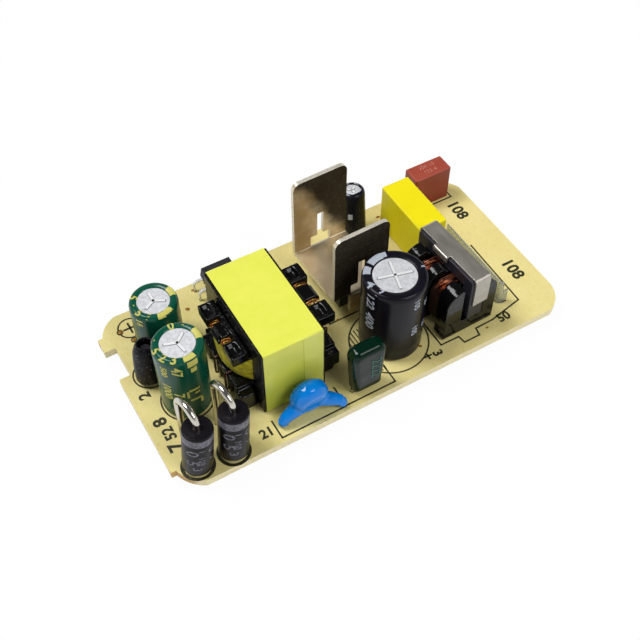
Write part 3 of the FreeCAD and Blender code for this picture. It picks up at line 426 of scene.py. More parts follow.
fillet = ring_stack("fillet", [(1.0, 0), (0.93, 0.05), (0.72, 0.17), (0.56, 0.34), (0.46, 0.55),
                               (0.4, 0.75), (0.36, 0.92), (0.28, 0.98), (0.12, 1.0)], 20)
smooth(fillet, 60)
joint_height = 2.0
joint_spread = 1.3
foil_lap = 0.28
tips = {}
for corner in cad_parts["solder_joints"].data.vertices:
    if corner.co.z > joint_height / 2 * mm:
        continue
    for key, members in tips.items():
        if dist(key, corner.co.xy) < joint_spread * mm:
            members.append(corner.co.copy())
            break
    else:
        tips[tuple(corner.co.xy)] = [corner.co.copy()]
copies = []
for members in tips.values():
    middle = sum(members, Vector()) / len(members)
    half_x = (max(point.x for point in members) - min(point.x for point in members)) / 2
    half_y = (max(point.y for point in members) - min(point.y for point in members)) / 2
    cone = copied(fillet)
    cone.scale = (half_x / mm + foil_lap, half_y / mm + foil_lap, -joint_height)
    cone.location = (middle.x, middle.y, joint_height * mm)
    copies.append(fixed(cone))
bpy.data.objects.remove(fillet)
fillets = joined(copies, "solder_fillets")
edit_all()
face_out()
settle(fillets, solder, "solder", "solder_joints")


# Flux residue
# Rosin that crept up through the holes and dried on the component side in amber drops.
rosin = clouded("flux_residue", 0.25, 0.4, 2, tint(128, 82, 8), tint(176, 128, 34))
drop = ring_stack("drop", [(1.0, 0), (0.8, 0.06), (0.5, 0.1), (0.2, 0.12)], 16)
drops = []
for x, y, length, width in (
        (20.0, 37.4, 0.42, 0.34), (22.7, 37.9, 0.3, 0.3), (17.1, 33.9, 0.42, 0.38),
        (15.3, 30.1, 0.36, 0.34), (4.2, 35.1, 0.42, 0.4), (5.8, 32.3, 0.45, 0.36), (39.2, 18.8, 0.5, 0.34),
        (39.9, 17.7, 0.3, 0.3), (60.1, 36.0, 0.5, 0.3), (68.3, 6.3, 0.7, 0.2), (13.2, 8.6, 0.4, 0.3),
        (7.1, 9.4, 0.4, 0.3), (62.5, 2.5, 0.3, 0.24), (49.6, 5.1, 0.3, 0.3)):
    spill = copied(drop)
    spill.scale = (length, width, 1)
    spill.location = spot(x, y)
    drops.append(fixed(spill))
bpy.data.objects.remove(drop)
settle(smooth(joined(drops, "flux_drops"), 60), rosin, "laminate")


# Tinned leads
# Round copper-clad steel wire with a bright tin plating, dull where it was handled; they
# keep the shapes of the CAD leads, most of which the bodies hide.
tinned = Finish("tinned_wire", tint(206, 204, 196), 0.24, Metallic=1.0)
dull = tinned.grain(1.6, 2)
tinned.paint(dull, tint(188, 182, 170), tint(222, 220, 212))
tinned.set("Roughness", 0.1 + 0.16 * dull)
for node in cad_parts:
    if node.endswith("_leads") or node.endswith("_pins"):
        wear(node, tinned)


# Output rectifier diodes
# Two moulded epoxy cylinders stood on end, a silver cathode band round the top and a printed
# rating; thick tinned wire leaves the middle of the top, loops over and goes down behind.
epoxy = clouded("diode_epoxy", 0.32, 0.3, 3, tint(12, 10, 14), tint(26, 22, 28), (0.02, 0.5), gloss=0.17)
silver_ink = Finish("silver_ink", tint(130, 130, 138), 0.42)
rubbed = silver_ink.grain(0.5, 3).beyond(0.52, 0.2)
silver_ink.paint(rubbed * 0.6, tint(112, 110, 122), tint(52, 49, 58))

diode_length = 10.0
diode_standoff = 0.59
diode_wire = 0.65
loop_rise = 2.8
loop_foot_y = 8.95
wire_tip = -2.6
print_lift = 0.022
print_thickness = 0.02
diode_profile = [(2.2, 0), (2.45, 0.06), (2.56, 0.18), (2.6, 0.36), (2.6, 9.64), (2.56, 9.82),
                 (2.45, 9.94), (2.2, 10.0), (1.0, 10.0), (0.85, 9.97)]
band_profile = [(2.58, 7.9), (2.615, 7.9), (2.615, 9.5), (2.58, 9.5)]


def shaped(piece, kind, **settings):
    """Gives the held piece a modifier with these settings, and applies it."""
    modifier = piece.modifiers.new(kind.lower(), kind)
    for name, value in settings.items():
        setattr(modifier, name, value)
    bpy.ops.object.modifier_apply(modifier=modifier.name)
    return piece


def laid_on(piece, profile, turn_deg, along, spin_deg=0):
    """Wraps flat print on a round form: along runs from the profile's end back down its side."""
    piece.rotation_euler.z = radians(spin_deg)
    fixed(piece)
    edit_all()
    bpy.ops.mesh.quads_convert_to_tris()
    bpy.ops.mesh.subdivide(number_cuts=1)
    mode("OBJECT")
    line = [Vector(point) * mm for point in reversed(profile)]

    def station(distance):
        for start, end in zip(line, line[1:]):
            step = (end - start).length
            if distance <= step or end is line[-1]:
                run = (end - start) / step
                return start + run * distance, Vector((-run.y, run.x))
            distance -= step

    middle = station(along * mm)[0].x
    for corner in piece.data.vertices:
        heading = radians(turn_deg) + corner.co.x / middle
        point, outward = station(along * mm - corner.co.y)
        point = point + outward * print_lift * mm
        corner.co = (point.x * cos(heading), point.x * sin(heading), point.y)
    return shaped(piece, "SOLIDIFY", thickness=print_thickness * mm, offset=0)


def bar(width, length):
    """A flat printed bar about the origin, its length along y."""
    return added(bpy.ops.mesh.primitive_grid_add, (width, length, 1), x_subdivisions=8,
                 y_subdivisions=8, size=mm)


def wire(name, points, radius):
    """Drawn wire along a smooth line, in millimetres on the board."""
    line = bpy.data.curves.new(name, "CURVE")
    line.dimensions = "3D"
    line.bevel_depth = radius * mm
    line.bevel_resolution = 4
    line.resolution_u = 8
    line.use_fill_caps = True
    spline = line.splines.new("NURBS")
    spline.points.add(len(points) - 1)
    for corner, place in zip(spline.points, points):
        corner.co = (*spot(*place), 1)
    spline.order_u = 3
    spline.use_endpoint_u = True
    piece = bpy.data.objects.new(name, line)
    bpy.context.collection.objects.link(piece)
    hold(piece)
    bpy.ops.object.convert(target="MESH")
    return smooth(bpy.context.object, 60)


for number, foot, slant in ((1, (4.5, 3.3), 0.25), (2, (10.84, 2.75), 0.8)):
    axis = Vector((1.12, slant, 10.0)).normalized()
    lean = Vector((0, 0, 1)).rotation_difference(axis).to_matrix().to_4x4()
    stand = Matrix.Translation(spot(*foot, diode_standoff)) @ lean
    body = smooth(ring_stack("diode_%d" % number, diode_profile, 64), 30)
    band = smooth(ring_stack("diode_%d_band" % number, band_profile, 64), 30)
    prints = [band]
    for text, size, turn, along, spin in (
            ("0", 2.1, -136, 4.0, -90), ("5", 2.1, -136, 6.6, -90), ("1", 1.1, -101, 3.4, -90),
            ("108", 1.1, -101, 6.0, -90), ("3", 1.5, -118, 8.2, -90), ("0", 2.1, -54, 3.8, -90),
            ("7", 1.6, -54, 6.4, -90)):
        prints.append(laid_on(written(text, size, 0, 2, 0.02), diode_profile[:8], turn, along, spin))
    printed = joined(prints, "diode_%d_print" % number)
    for piece in (body, printed):
        piece.matrix_world = stand
        fixed(piece)
    settle(body, epoxy, "black_moulding", "diode_%d_body" % number)
    settle(printed, silver_ink, "black_moulding")
    top = Vector((*foot, diode_standoff)) + axis * diode_length
    back_x, back_y = foot[0] + 0.3, loop_foot_y
    half_row = (back_y - top.y) / 2
    spring = top.z + loop_rise - half_row
    route = [(top.x, top.y, top.z - 0.2), (top.x, top.y, spring)]
    for angle_deg in (152, 125, 98, 72, 45, 20):
        angle = radians(angle_deg)
        share = (1 + cos(angle)) / 2
        route.append((top.x + (back_x - top.x) * share,
                      top.y + half_row + half_row * 1.08 * cos(angle),
                      spring + half_row * 1.04 * sin(angle)))
    route += [(back_x, back_y, spring - 0.6), (back_x, back_y, spring - 2.5), (back_x, back_y, 3.0),
              (back_x, back_y, wire_tip)]
    loop = wire("diode_%d_loop" % number, route, diode_wire)
    shank = wire("diode_%d_shank" % number, [(*foot, 1.2), (*foot, 0), (*foot, wire_tip)], diode_wire)
    wires = joined([loop, shank], "diode_%d_wire" % number)
    settle(wires, tinned, "tinned_wire", "diode_%d_leads" % number)


# Electrolytic capacitors
# Pressed aluminium cans, the top scored so that it can vent, each in a printed shrink sleeve
# that curls over the rim and under the foot.
can_metal = Finish("can_aluminium", tint(186, 188, 192), 0.36, Metallic=0.3)
mottle = can_metal.grain(0.7, 4)
pressed = can_metal.grain(0.3, 3)
can_metal.paint(mottle.beyond(0.5, 0.5), tint(204, 206, 211), tint(232, 233, 236))
can_metal.set("Roughness", 0.26 + 0.3 * pressed)
can_metal.relief(mottle * 0.5 + pressed * 0.5, 0.06, 0.5)
# The flat tops of the vent ridges are painted near white, a painted highlight, and their flanks a darker
# grey, painted shade.
scored = Finish("scored_aluminium", tint(200, 201, 204), 0.34, Metallic=0.3)
painted_flank_shade = 1 - scored.facing("Z").beyond(0.9, 0.1)
scored.paint(painted_flank_shade, tint(250, 250, 251), tint(164, 164, 168))

ridge_width, ridge_height, ridge_start, ridge_slope = 0.8, 0.3, 0.22, 0.5


def vent_ridges(name, z, arms, reach, first_deg):
    """Pressed ridges along the score lines in the top of a can."""
    ridges = []
    for number in range(arms):
        ridge = added(bpy.ops.mesh.primitive_cube_add, (reach, ridge_width, ridge_height), size=mm,
                      location=((reach / 2 - ridge_start) * mm, 0, 0))
        for corner in ridge.data.vertices:
            if corner.co.z > 0:
                corner.co.y *= 0.55
                corner.co.x = min(corner.co.x, (reach - ridge_slope) * mm)
        ridge.rotation_euler.z = radians(first_deg + number * 360 / arms)
        ridges.append(fixed(ridge))
    crown = joined(ridges, name)
    crown.location.z = z * mm
    return fixed(crown)


def loose_copy(node, name):
    """A copy of a CAD piece, its triangles merged into one skin."""
    alone()
    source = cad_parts[node]
    piece = bpy.data.objects.new(name, source.data.copy())
    bpy.context.collection.objects.link(piece)
    piece.matrix_world = source.matrix_world
    fixed(piece)
    edit_all()
    bpy.ops.mesh.remove_doubles(threshold=0.002 * mm)
    mode("OBJECT")
    return piece


def softened(node, name, edge, finish, slot, segments=2, turn_deg=0, about=(0, 0)):
    """A copy of a moulded or pressed piece with its sharp edges rounded."""
    piece = loose_copy(node, name)
    edit_all()
    bpy.ops.mesh.dissolve_limited(angle_limit=radians(1))
    mode("OBJECT")
    if turn_deg:
        centre = Matrix.Translation(spot(*about))
        turn = Matrix.Rotation(radians(turn_deg), 4, "Z")
        piece.matrix_world = centre @ turn @ centre.inverted()
        fixed(piece)
    smooth(piece, 35)
    shaped(piece, "BEVEL", width=edge * mm, segments=segments, limit_method="ANGLE",
           angle_limit=radians(28), harden_normals=True)
    return settle(piece, finish, slot, node)


sleeve_foot = 0.15


def sleeve_profile(radius, height, lip):
    """The outline of a shrink sleeve, from its foot round the shoulder and down to the can."""
    mouth = radius - lip
    return [(radius * 0.8, sleeve_foot), (radius - 0.3, 0.17), (radius - 0.06, 0.42), (radius, 0.9),
            (radius - 0.05, 1.6), (radius, 2.2), (radius, height * 0.5), (radius, height - 1.25),
            (radius - 0.02, height - 0.8), (radius - 0.12, height - 0.42),
            (radius - 0.32, height - 0.15), (radius - 0.6, height - 0.02), (radius - 0.85, height),
            (mouth + 0.3, height - 0.12), (mouth + 0.08, height - 0.22), (mouth, height - 0.34)]


def stood(piece, place, lean_deg, radius):
    """Sets a piece that was made about the origin on its place on the board."""
    lean = Matrix.Rotation(radians(-lean_deg), 4, "X")
    rise = radius * sin(radians(lean_deg))
    base = Matrix.Translation((0, 0, sleeve_foot * mm))
    piece.matrix_world = Matrix.Translation(spot(*place, rise)) @ base @ lean @ base.inverted()
    return fixed(piece)


def electrolytic(name, place, can, arms, first_deg, film, slot, ink, figures, bars, lean_deg=0):
    """A can, given by its radius, height and lip, its scored top, its sleeve and their print.

    A figure is (text, size, turn round the can, distance along the outline from its mouth, spin),
    and a bar is (width, length, turn, distance).
    """
    radius, height, lip = can
    profile = sleeve_profile(*can)
    sleeve = smooth(ring_stack(name + "_wrap", profile, 72, bottom=False), 60)
    softened(name + "_can", name + "_top", 0.05, can_metal, "can_aluminium",
             turn_deg=0 if lean_deg else first_deg - 25, about=place)
    ridges = vent_ridges(name + "_vent", height - 0.3, arms, radius - lip - 0.25, first_deg)
    settle(stood(ridges, place, lean_deg, radius), scored, "can_aluminium")
    settle(stood(sleeve, place, lean_deg, radius), film, slot, name + "_sleeve")
    prints = []
    for text, size, turn_deg, along, spin_deg in figures:
        prints.append(laid_on(written(text, size, 0, 2, 0.035), profile, turn_deg, along, spin_deg))
    for width, length, turn_deg, along in bars:
        prints.append(laid_on(bar(width, length), profile, turn_deg, along))
    settle(stood(joined(prints, name + "_print"), place, lean_deg, radius), ink, slot)


green_film = clouded("green_sleeve", 0.22, 3.0, 2, tint(4, 66, 50), tint(8, 88, 66), gloss=0.28)
green_film.relief(green_film.grain(0.9, 3, (1, 1, 0.4)), 0.05, 0.35)
black_film = clouded("black_sleeve", 0.26, 3.0, 2, tint(12, 11, 18), tint(22, 20, 31), gloss=0.17)
black_film.relief(black_film.grain(1.2, 3, (1, 1, 0.4)), 0.05, 0.3)

yellow_ink = clouded("yellow_ink", 0.4, 0.3, 2, tint(180, 176, 84), tint(222, 216, 112))
grey_ink = clouded("grey_ink", 0.4, 0.3, 2, tint(146, 154, 168), tint(190, 196, 206))
electrolytic(
    "output_capacitor", (8.75, 16.15), (4.35, 16.2, 1.42), 3, 41, green_film, "green_sleeve", yellow_ink,
    [("0", 1.6, 82, 0.8, 0), ("1", 1.6, 50, 0.8, 0), ("1", 1.6, 145, 1.0, 0), ("5", 1.6, 178, 1.0, 0),
     ("2", 1.6, -153, 0.9, 0), ("3", 1.6, -124, 0.8, 0), ("500", 1.2, -150, 4.2, -90),
     ("1000", 1.5, -150, 9.6, -90), ("47", 1.7, -120, 3.6, -90), ("7", 1.7, -124, 10.2, -90),
     ("8", 1.4, -122, 12.6, -90)],
    [(2.2, 1.25, 2, 0.78), (2.0, 1.1, -84, 0.8), (1.9, 1.3, -82, 2.3), (1.1, 1.1, -82, 3.9),
     (1.9, 0.5, -88, 9.3), (0.4, 1.7, -104, 10.3), (0.9, 0.5, -82, 10.3), (1.9, 0.5, -88, 12.0),
     (0.5, 1.4, -74, 12.9)])
electrolytic(
    "filter_capacitor", (9.9, 29.4), (4.275, 12.0, 1.46), 3, 90, green_film, "green_sleeve", yellow_ink,
    [("5", 1.5, 141, 0.8, 0), ("1", 1.5, 171, 0.8, 0), ("5", 1.5, -157, 0.8, 0),
     ("7", 1.5, -126, 0.9, 0), ("16", 1.4, -150, 2.9, -90), ("4", 1.3, -118, 6.4, -90)],
    [(2.0, 1.2, 5, 0.8), (1.5, 1.2, -70, 0.8), (1.3, 1.3, -92, 1.0)])
electrolytic(
    "bulk_capacitor", (46.0, 9.75), (5.7, 17.4, 1.9), 4, 75, black_film, "black_sleeve", grey_ink,
    [("4", 1.8, 178, 1.1, 0), ("7", 1.8, -154, 1.2, 0), ("1", 1.5, -168, 2.9, -90),
     ("22", 1.7, -168, 4.9, -90), ("400", 1.9, -168, 9.3, -90), ("105", 1.25, -81, 4.4, -90),
     ("105", 1.25, -81, 11.4, -90), ("25", 1.0, -54, 6.0, -90), ("25", 1.0, -54, 12.0, -90)],
    [(2.8, 1.35, 104, 1.0), (1.7, 1.3, 140, 1.1), (0.9, 1.1, 82, 1.0), (0.3, 1.3, -10, 1.7)])
electrolytic(
    "supply_capacitor", (53.7, 34.9), (2.45, 10.8, 0.85), 3, 25, black_film, "black_sleeve", grey_ink,
    [("1", 0.9, -150, 1.0, -90)],
    [(0.9, 0.7, -176, 0.6), (0.7, 0.5, -118, 0.6), (1.0, 0.6, -50, 0.6), (0.9, 0.6, 30, 0.6),
     (1.3, 0.5, 100, 0.6), (0.9, 1.3, -132, 6.2)], lean_deg=6)


# Rod inductor
# Enamelled wire on a ferrite rod, in a matt black shrink tube that is open at the top and
# slightly crumpled; it leans on its two leads.
shrink = Finish("shrink_sleeve", tint(30, 29, 30), 0.42, gloss=0.16)
crumple = shrink.grain(0.7, 4, (1, 1, 0.5))
scuffs = shrink.grain(0.45, 3).beyond(0.66, 0.05)
shrink.paint(scuffs * 0.5, tint(17, 14, 19), tint(140, 140, 144))
shrink.relief(crumple, 0.12, 0.6)
tube_profile = [(1.72, 0.75), (1.98, 0.8), (2.12, 1.0), (2.2, 1.5), (2.3, 3.0), (2.34, 4.5),
                (2.26, 6.0), (2.2, 7.2), (2.14, 7.9), (2.0, 8.5), (1.8, 9.0), (1.6, 9.3),
                (1.42, 9.4), (1.28, 9.34), (1.22, 9.1), (1.24, 8.4), (1.7, 7.6)]
tube_lean_deg = 6.5
tube = ring_stack("rod_tube", tube_profile, 48, bottom=False)
for corner in tube.data.vertices:
    dent = sin(corner.co.x / mm * 2.1 + corner.co.z / mm * 0.9) * sin(corner.co.y / mm * 1.7)
    corner.co.xy *= 1 + 0.026 * dent
    if corner.co.z > 9.0 * mm:
        corner.co.z += 0.08 * mm * sin(atan2(corner.co.y, corner.co.x) * 2 + 0.6)
smooth(tube, 60)
tube_lean = Matrix.Rotation(radians(tube_lean_deg), 4, Vector((-0.6, 0.8, 0)))
tube.matrix_world = Matrix.Translation(spot(4.5, 22.95)) @ tube_lean
settle(fixed(tube), shrink, "shrink_sleeve", "rod_inductor_sleeve")
copper = Finish("copper_enamel", tint(168, 84, 44), 0.26, Metallic=0.8)
streaks_and_glints = copper.grain(1.1, 3, (0.4, 4, 1))
# Above about 13 mm the copper is painted bright in streaks along the turns, a painted highlight; lower
# down it is painted dark brown.
lit = copper.across("Z").beyond(13.2, 1.8) * streaks_and_glints.beyond(0.5, 0.16)
copper.paint(lit, tint(38, 15, 10), tint(232, 150, 112))
copper.set("Roughness", 0.2 + 0.2 * streaks_and_glints)
ferrite = Finish("ferrite", tint(44, 43, 46), 0.3, gloss=0.26)
grit = ferrite.specks(0.22)
sparkle = ferrite.grain(0.16, 2).beyond(0.66, 0.08)
# Below about 6 mm the ferrite is painted brownish and speckled, a painted reflection of the board.
painted_board_reflection = (ferrite.across("Z") * -1 + (ferrite.grain(0.8, 3) - 0.5) * 3).beyond(-6.2, 1.6)
board_reflection_colour = ferrite.blend(ferrite.grain(0.3, 3).beyond(0.55, 0.2), tint(58, 50, 44), tint(150, 138, 118))
grey = ferrite.blend(sparkle * 0.6, tint(40, 39, 46), tint(110, 108, 112))
ferrite.paint(painted_board_reflection * 0.85, grey, board_reflection_colour)
ferrite.relief(grit, 0.03, 0.5)
wear("rod_inductor_winding", copper)
wear("rod_inductor_core", ferrite)


# Power transformer
# Two ferrite halves meet through the round tube of a pinned black nylon bobbin, and a band of
# yellow polyester tape holds them; the coil under it is wrapped in the same tape, and the
# whole was dipped in a clear varnish that stands glossy on the bobbin.
transformer_x, transformer_y = 24.65, 16.8


def poured(node, name, voxel, rounds, finish, slot, swell=0.0):
    """A dipped piece: the CAD form with its edges drawn round, as resin or varnish sets."""
    piece = loose_copy(node, name)
    shaped(piece, "REMESH", mode="VOXEL", voxel_size=voxel * mm)
    shaped(piece, "SMOOTH", factor=0.5, iterations=rounds)
    if swell:
        shaped(piece, "DISPLACE", strength=swell * mm, mid_level=0)
    smooth(piece, 180)
    return settle(piece, finish, slot, node)


core_ferrite = Finish("core_ferrite", tint(40, 39, 42), 0.24, gloss=0.12)
grit = core_ferrite.grain(0.2, 2)
core_ferrite.paint(grit.beyond(0.68, 0.06), tint(14, 13, 15), tint(104, 100, 94))
core_ferrite.relief(grit, 0.04, 0.6)
varnished = clouded("varnished_nylon", 0.08, 1.4, 3, tint(6, 6, 7), tint(14, 14, 15), (0.16, 0.5),
                    gloss=0.24)
for half in ("lower", "upper"):
    softened("transformer_core_" + half, "ferrite_" + half, 0.25, core_ferrite, "ferrite")
bobbin = poured("transformer_bobbin", "bobbin", 0.2, 2, varnished, "black_moulding")
ear_out, ear_along = 8.1, 4.7
dish_out, dish_along, dish_depth = 0.72, 1.15, 0.7
ear_top = max(corner.co.z for corner in bobbin.data.vertices)
for corner in bobbin.data.vertices:
    out = abs(corner.co.x - spot(transformer_x, 0).x) / mm - ear_out
    along = abs(corner.co.y - spot(0, transformer_y).y) / mm - ear_along
    if corner.co.z > ear_top - 0.5 * mm:
        sunk = 1 / (1 + (out / dish_out) ** 8) / (1 + (along / dish_along) ** 8)
        corner.co.z -= dish_depth * mm * sunk

lime_tape = Finish("lime_tape", tint(236, 240, 96), 0.3, Coat_Weight=0.25)
film = lime_tape.grain(2.6, 3)
dust = lime_tape.grain(0.22, 2).beyond(0.7, 0.05)
lime = lime_tape.blend(film, tint(222, 226, 78), tint(234, 236, 98))
upward = lime_tape.facing("Z").beyond(0.5, 0.4)
# The sides of the band are painted darker than its top, in uneven clouds: painted shade.
lime = lime_tape.blend((1 - upward) * (0.2 + 0.4 * lime_tape.grain(4.5, 2)), lime, tint(178, 184, 66))
lap_tone = lime_tape.across("X").beyond(-12.9, 0.15) * (-1 * lime_tape.facing("Y")).beyond(0.5, 0.2)
wrinkle = lime_tape.grain(1.8, 4, (1, 1, 0.4)).beyond(0.5, 0.25)
lime = lime_tape.blend(lap_tone * (0.12 + 0.4 * wrinkle), lime, tint(216, 220, 116))
# Low down, the sides of the band away from the lap are painted a darker green, painted shade.
low_front_shade = (-1 * lime_tape.across("Z")).beyond(-10.5, 6.0) * (1 - upward) * (1 - lap_tone)
lime = lime_tape.blend(low_front_shade * 0.4, lime, tint(146, 164, 50))
lime_tape.paint(dust * 0.35, lime, tint(150, 150, 60))
lime_tape.relief(film * 0.6 + lime_tape.grain(0.5, 3) * 0.4, 0.05, 0.4)

# The band goes round the core from front to back, its corners drawn tight over the edges.
tape_left, tape_right, tape_front, tape_low, tape_high = 19.13, 30.17, 10.33, 0.17, 16.23
tape_thickness = 0.12
flap_x, flap_z, flap_width, flap_height, flap_thickness = 28.35, 8.5, 3.7, 15.2, 0.07
band = added(
    bpy.ops.mesh.primitive_cube_add, (tape_right - tape_left, tape_front * 2, tape_high - tape_low),
    size=mm, location=spot((tape_left + tape_right) / 2, transformer_y, (tape_low + tape_high) / 2))
mode("EDIT")
bpy.ops.mesh.select_mode(type="FACE")
bpy.ops.mesh.select_all(action="DESELECT")
mode("OBJECT")
for face in band.data.polygons:
    face.select = abs(face.normal.x) > 0.5
mode("EDIT")
bpy.ops.mesh.delete(type="ONLY_FACE")
bpy.ops.mesh.select_mode(type="EDGE")
mode("OBJECT")
for edge in band.data.edges:
    first, last = (band.data.vertices[number].co for number in edge.vertices)
    edge.select = abs(first.x - last.x) > 0.5 * mm
mode("EDIT")
bpy.ops.mesh.bevel(offset=0.3 * mm, segments=3)
bpy.ops.mesh.select_all(action="SELECT")
bpy.ops.mesh.subdivide(number_cuts=10)
face_out()
for corner in band.data.vertices:
    x, y, z = corner.co / mm
    corner.co.y += 0.025 * mm * sin(x * 1.1 + y * 0.5) * sin(z * 0.7 + 1)
shaped(band, "SOLIDIFY", thickness=tape_thickness * mm, offset=-1)
smooth(band, 50)
flap = added(
    bpy.ops.mesh.primitive_grid_add, (flap_width, flap_height, 1), x_subdivisions=6,
    y_subdivisions=16, size=mm, location=spot(flap_x, transformer_y - tape_front - 0.03, flap_z),
    rotation=(radians(90), 0, 0))
for corner in flap.data.vertices:
    corner.co.y += 0.03 * mm * sin(corner.co.z / mm * 1.3) * sin(corner.co.x / mm * 0.9)
shaped(flap, "SOLIDIFY", thickness=flap_thickness * mm, offset=0)
settle(joined([band, flap], "tape_band"), lime_tape, "yellow_tape", "transformer_tape")

coil_tape = Finish("coil_tape", tint(214, 206, 70), 0.34, Coat_Weight=0.3)
folds = coil_tape.grain(1.5, 4, (1, 1, 2.5))
# The raised folds are painted a paler yellow, a painted highlight, and the pleat lines darker, painted
# shade in the creases.
gold = coil_tape.blend(folds.beyond(0.5, 0.4), tint(250, 226, 14), tint(255, 255, 92))
pleats_and_crease_shade = 1 - (coil_tape.grain(2.6, 2, (0.7, 0.7, 1.8)) - 0.5).size().beyond(0.035, 0.05)
coil_tape.paint(pleats_and_crease_shade * 0.35, gold, tint(150, 126, 6))
coil_tape.relief(folds * 0.6 - 0.4 * pleats_and_crease_shade, 0.5, 0.8)
coil_profile = [(5.3, 5.12), (8.3, 5.12), (8.6, 5.3), (8.8, 6.2), (8.74, 7.0), (8.85, 7.9),
                (8.76, 8.8), (8.82, 9.8), (8.7, 10.6), (8.6, 11.1), (8.3, 11.28), (5.3, 11.28)]
coil = ring_stack("wrapped_coil", coil_profile, 96, bottom=False)
for corner in coil.data.vertices:
    angle = atan2(corner.co.y, corner.co.x)
    height = corner.co.z / mm
    corner.co.xy *= 1 + 0.006 * sin(angle * 9 + height) * sin(height * 2.3 + angle)
smooth(coil, 50)
coil.location = spot(transformer_x, transformer_y)
settle(fixed(coil), coil_tape, "yellow_tape", "transformer_winding")

amber = Finish("amber_wire", tint(176, 92, 38), 0.22, Metallic=0.55, Coat_Weight=0.4)
upper_wire_colour = amber.blend(amber.grain(0.6).beyond(0.56, 0.1), tint(190, 112, 56), tint(226, 196, 60))
# The wire is painted dark brown below 11 mm, and a lighter amber with yellow flecks above.
amber.paint(amber.across("Z").beyond(11.0, 2.0), tint(70, 32, 16), upper_wire_colour)
end_wire, lead_wire = 0.2, 0.11
coil_radius = 8.2
wire_ends = []
for side, reach in ((-1, 9.2), (1, 10.2)):
    for offset in (-3.0, 1.0):
        y = transformer_y + offset
        out = transformer_x + side * (reach + 0.3)
        pin = transformer_x + side * (reach - 0.65)
        start = transformer_x + side * (sqrt(coil_radius ** 2 - offset ** 2) - 0.3)
        wire_ends.append(wire("wire_end", [
            (start, y, 5.5), (transformer_x + side * (reach - 1.2), y + 0.1, 5.45), (out, y, 5.3),
            (out, y, 4.6), (out + side * 0.02, y + 0.15, 3.0), (out, y, 1.6), (out, y, 0.9),
            (pin, y, 0.75)], end_wire))
    for offset in (-1.9, 2.5):
        y = transformer_y + offset
        inner = transformer_x + side * 7.2
        for step in range(3):
            shift = step * 0.5 - 0.5
            wire_ends.append(wire("lead_out", [
                (inner, y + shift * 0.6, 12.25 + 0.1 * step), (inner + side * 0.8, y + shift, 12.55),
                (inner + side * 1.6, y + shift, 12.4),
                (transformer_x + side * (reach - 0.6), y + shift, 12.0),
                (transformer_x + side * (reach - 0.3), y + shift, 11.7)], lead_wire))
settle(joined(wire_ends, "transformer_wires"), amber, "copper_enamel", "transformer_wire_ends")


# Optocoupler
# A dark grey epoxy moulding with a dimple by its first lead; four flat tinned leads are
# formed wide, down into the board.
moulding = clouded("grey_moulding", 0.46, 0.3, 3, tint(34, 33, 36), tint(52, 51, 54), (0.02, 0.5),
                   gloss=0.2)
softened("optocoupler_body", "optocoupler", 0.08, moulding, "black_moulding")
frosted_tin = clouded("frosted_tin", 0.5, 0.5, 3, tint(204, 204, 200), tint(236, 236, 234),
                      Metallic=0.35)
softened("optocoupler_leads", "optocoupler_feet", 0.06, frosted_tin, "tinned_wire")


# Heatsink and power transistor
# One sheet of tinned steel, folded into a channel with a foot punched out of each fin; the
# transistor is bonded face up under its floor. The tin has gone brown in cloudy patches, and
# the sheared edges are bright.
tinplate = Finish("tinplate", tint(150, 140, 124), 0.34, Metallic=0.9, gloss=0.06)
bloom = tinplate.grain(4.5, 3)
streak = tinplate.grain(0.9, 4)
rise = tinplate.across("Z")
sheet_y = tinplate.across("Y")
tin = tinplate.blend(bloom.beyond(0.5, 0.35), tint(204, 176, 128), tint(238, 222, 188))
# Faces that look up are painted greyer, a painted reflection.
tin = tinplate.blend(tinplate.facing("Z").beyond(0.6, 0.3) * 0.65, tin, tint(180, 170, 150))
toward_front = (-1 * tinplate.facing("Y")).beyond(0.6, 0.3)
# The dark patch over the upper part of the back fin's front face is painted shade.
slope = rise + 1.3 * tinplate.across("X") + (tinplate.grain(5.0, 3) - 0.5) * 9
shadowed = slope.beyond(24.0, 6.0) * sheet_y.beyond(10.5, 0.5) * toward_front
tin = tinplate.blend(shadowed * 0.96, tin, tint(26, 19, 10))
# The front face of the front fin is painted near black, a painted dark reflection.
front_face_painted_dark = toward_front * (-1 * sheet_y).beyond(1.0, 0.4) * rise.beyond(9.2, 0.3)
tin = tinplate.blend(front_face_painted_dark * 0.97, tin, tint(10, 7, 10))
sheared = tinplate.facing("X").size().largest(tinplate.facing("Z") * rise.beyond(21, 1)).beyond(0.8, 0.2)
burr = tinplate.grain(0.3, 3).beyond(0.55, 0.15)
tin = tinplate.blend((streak - 0.5).size() * 0.5, tin, tint(150, 142, 126))
tinplate.paint(sheared * (0.9 - 0.5 * burr), tin, tint(232, 228, 214))
tinplate.set("Roughness", 0.28 + 0.22 * bloom)
tinplate.set("Metallic", 0.62 - 0.6 * front_face_painted_dark - 0.3 * shadowed - 0.1 * sheared)
tinplate.relief(tinplate.grain(0.35, 3), 0.03, 0.4)
softened("heatsink", "folded_heatsink", 0.14, tinplate, "sheet_metal", 3)
softened("power_transistor_body", "transistor", 0.15, moulding, "black_moulding")


# Disc capacitor
# A ceramic disc dipped in bright blue resin, which ran down both splayed leads and set in a
# smooth glossy skin.
blue = clouded("blue_resin", 0.06, 2.0, 2, tint(0, 118, 214), tint(2, 138, 232), (0.12, 0.35), gloss=0.36)
poured("disc_capacitor_body", "blue_disc", 0.16, 40, blue, "blue_resin", swell=0.28)


# Film capacitor
# Wound film, dipped in dark green epoxy: a flat tablet with round shoulders, narrower at its
# foot, printed with a plain value.
green = Finish("green_resin", tint(14, 74, 62), 0.1, gloss=0.2)
cloudy = green.grain(2.5, 2)
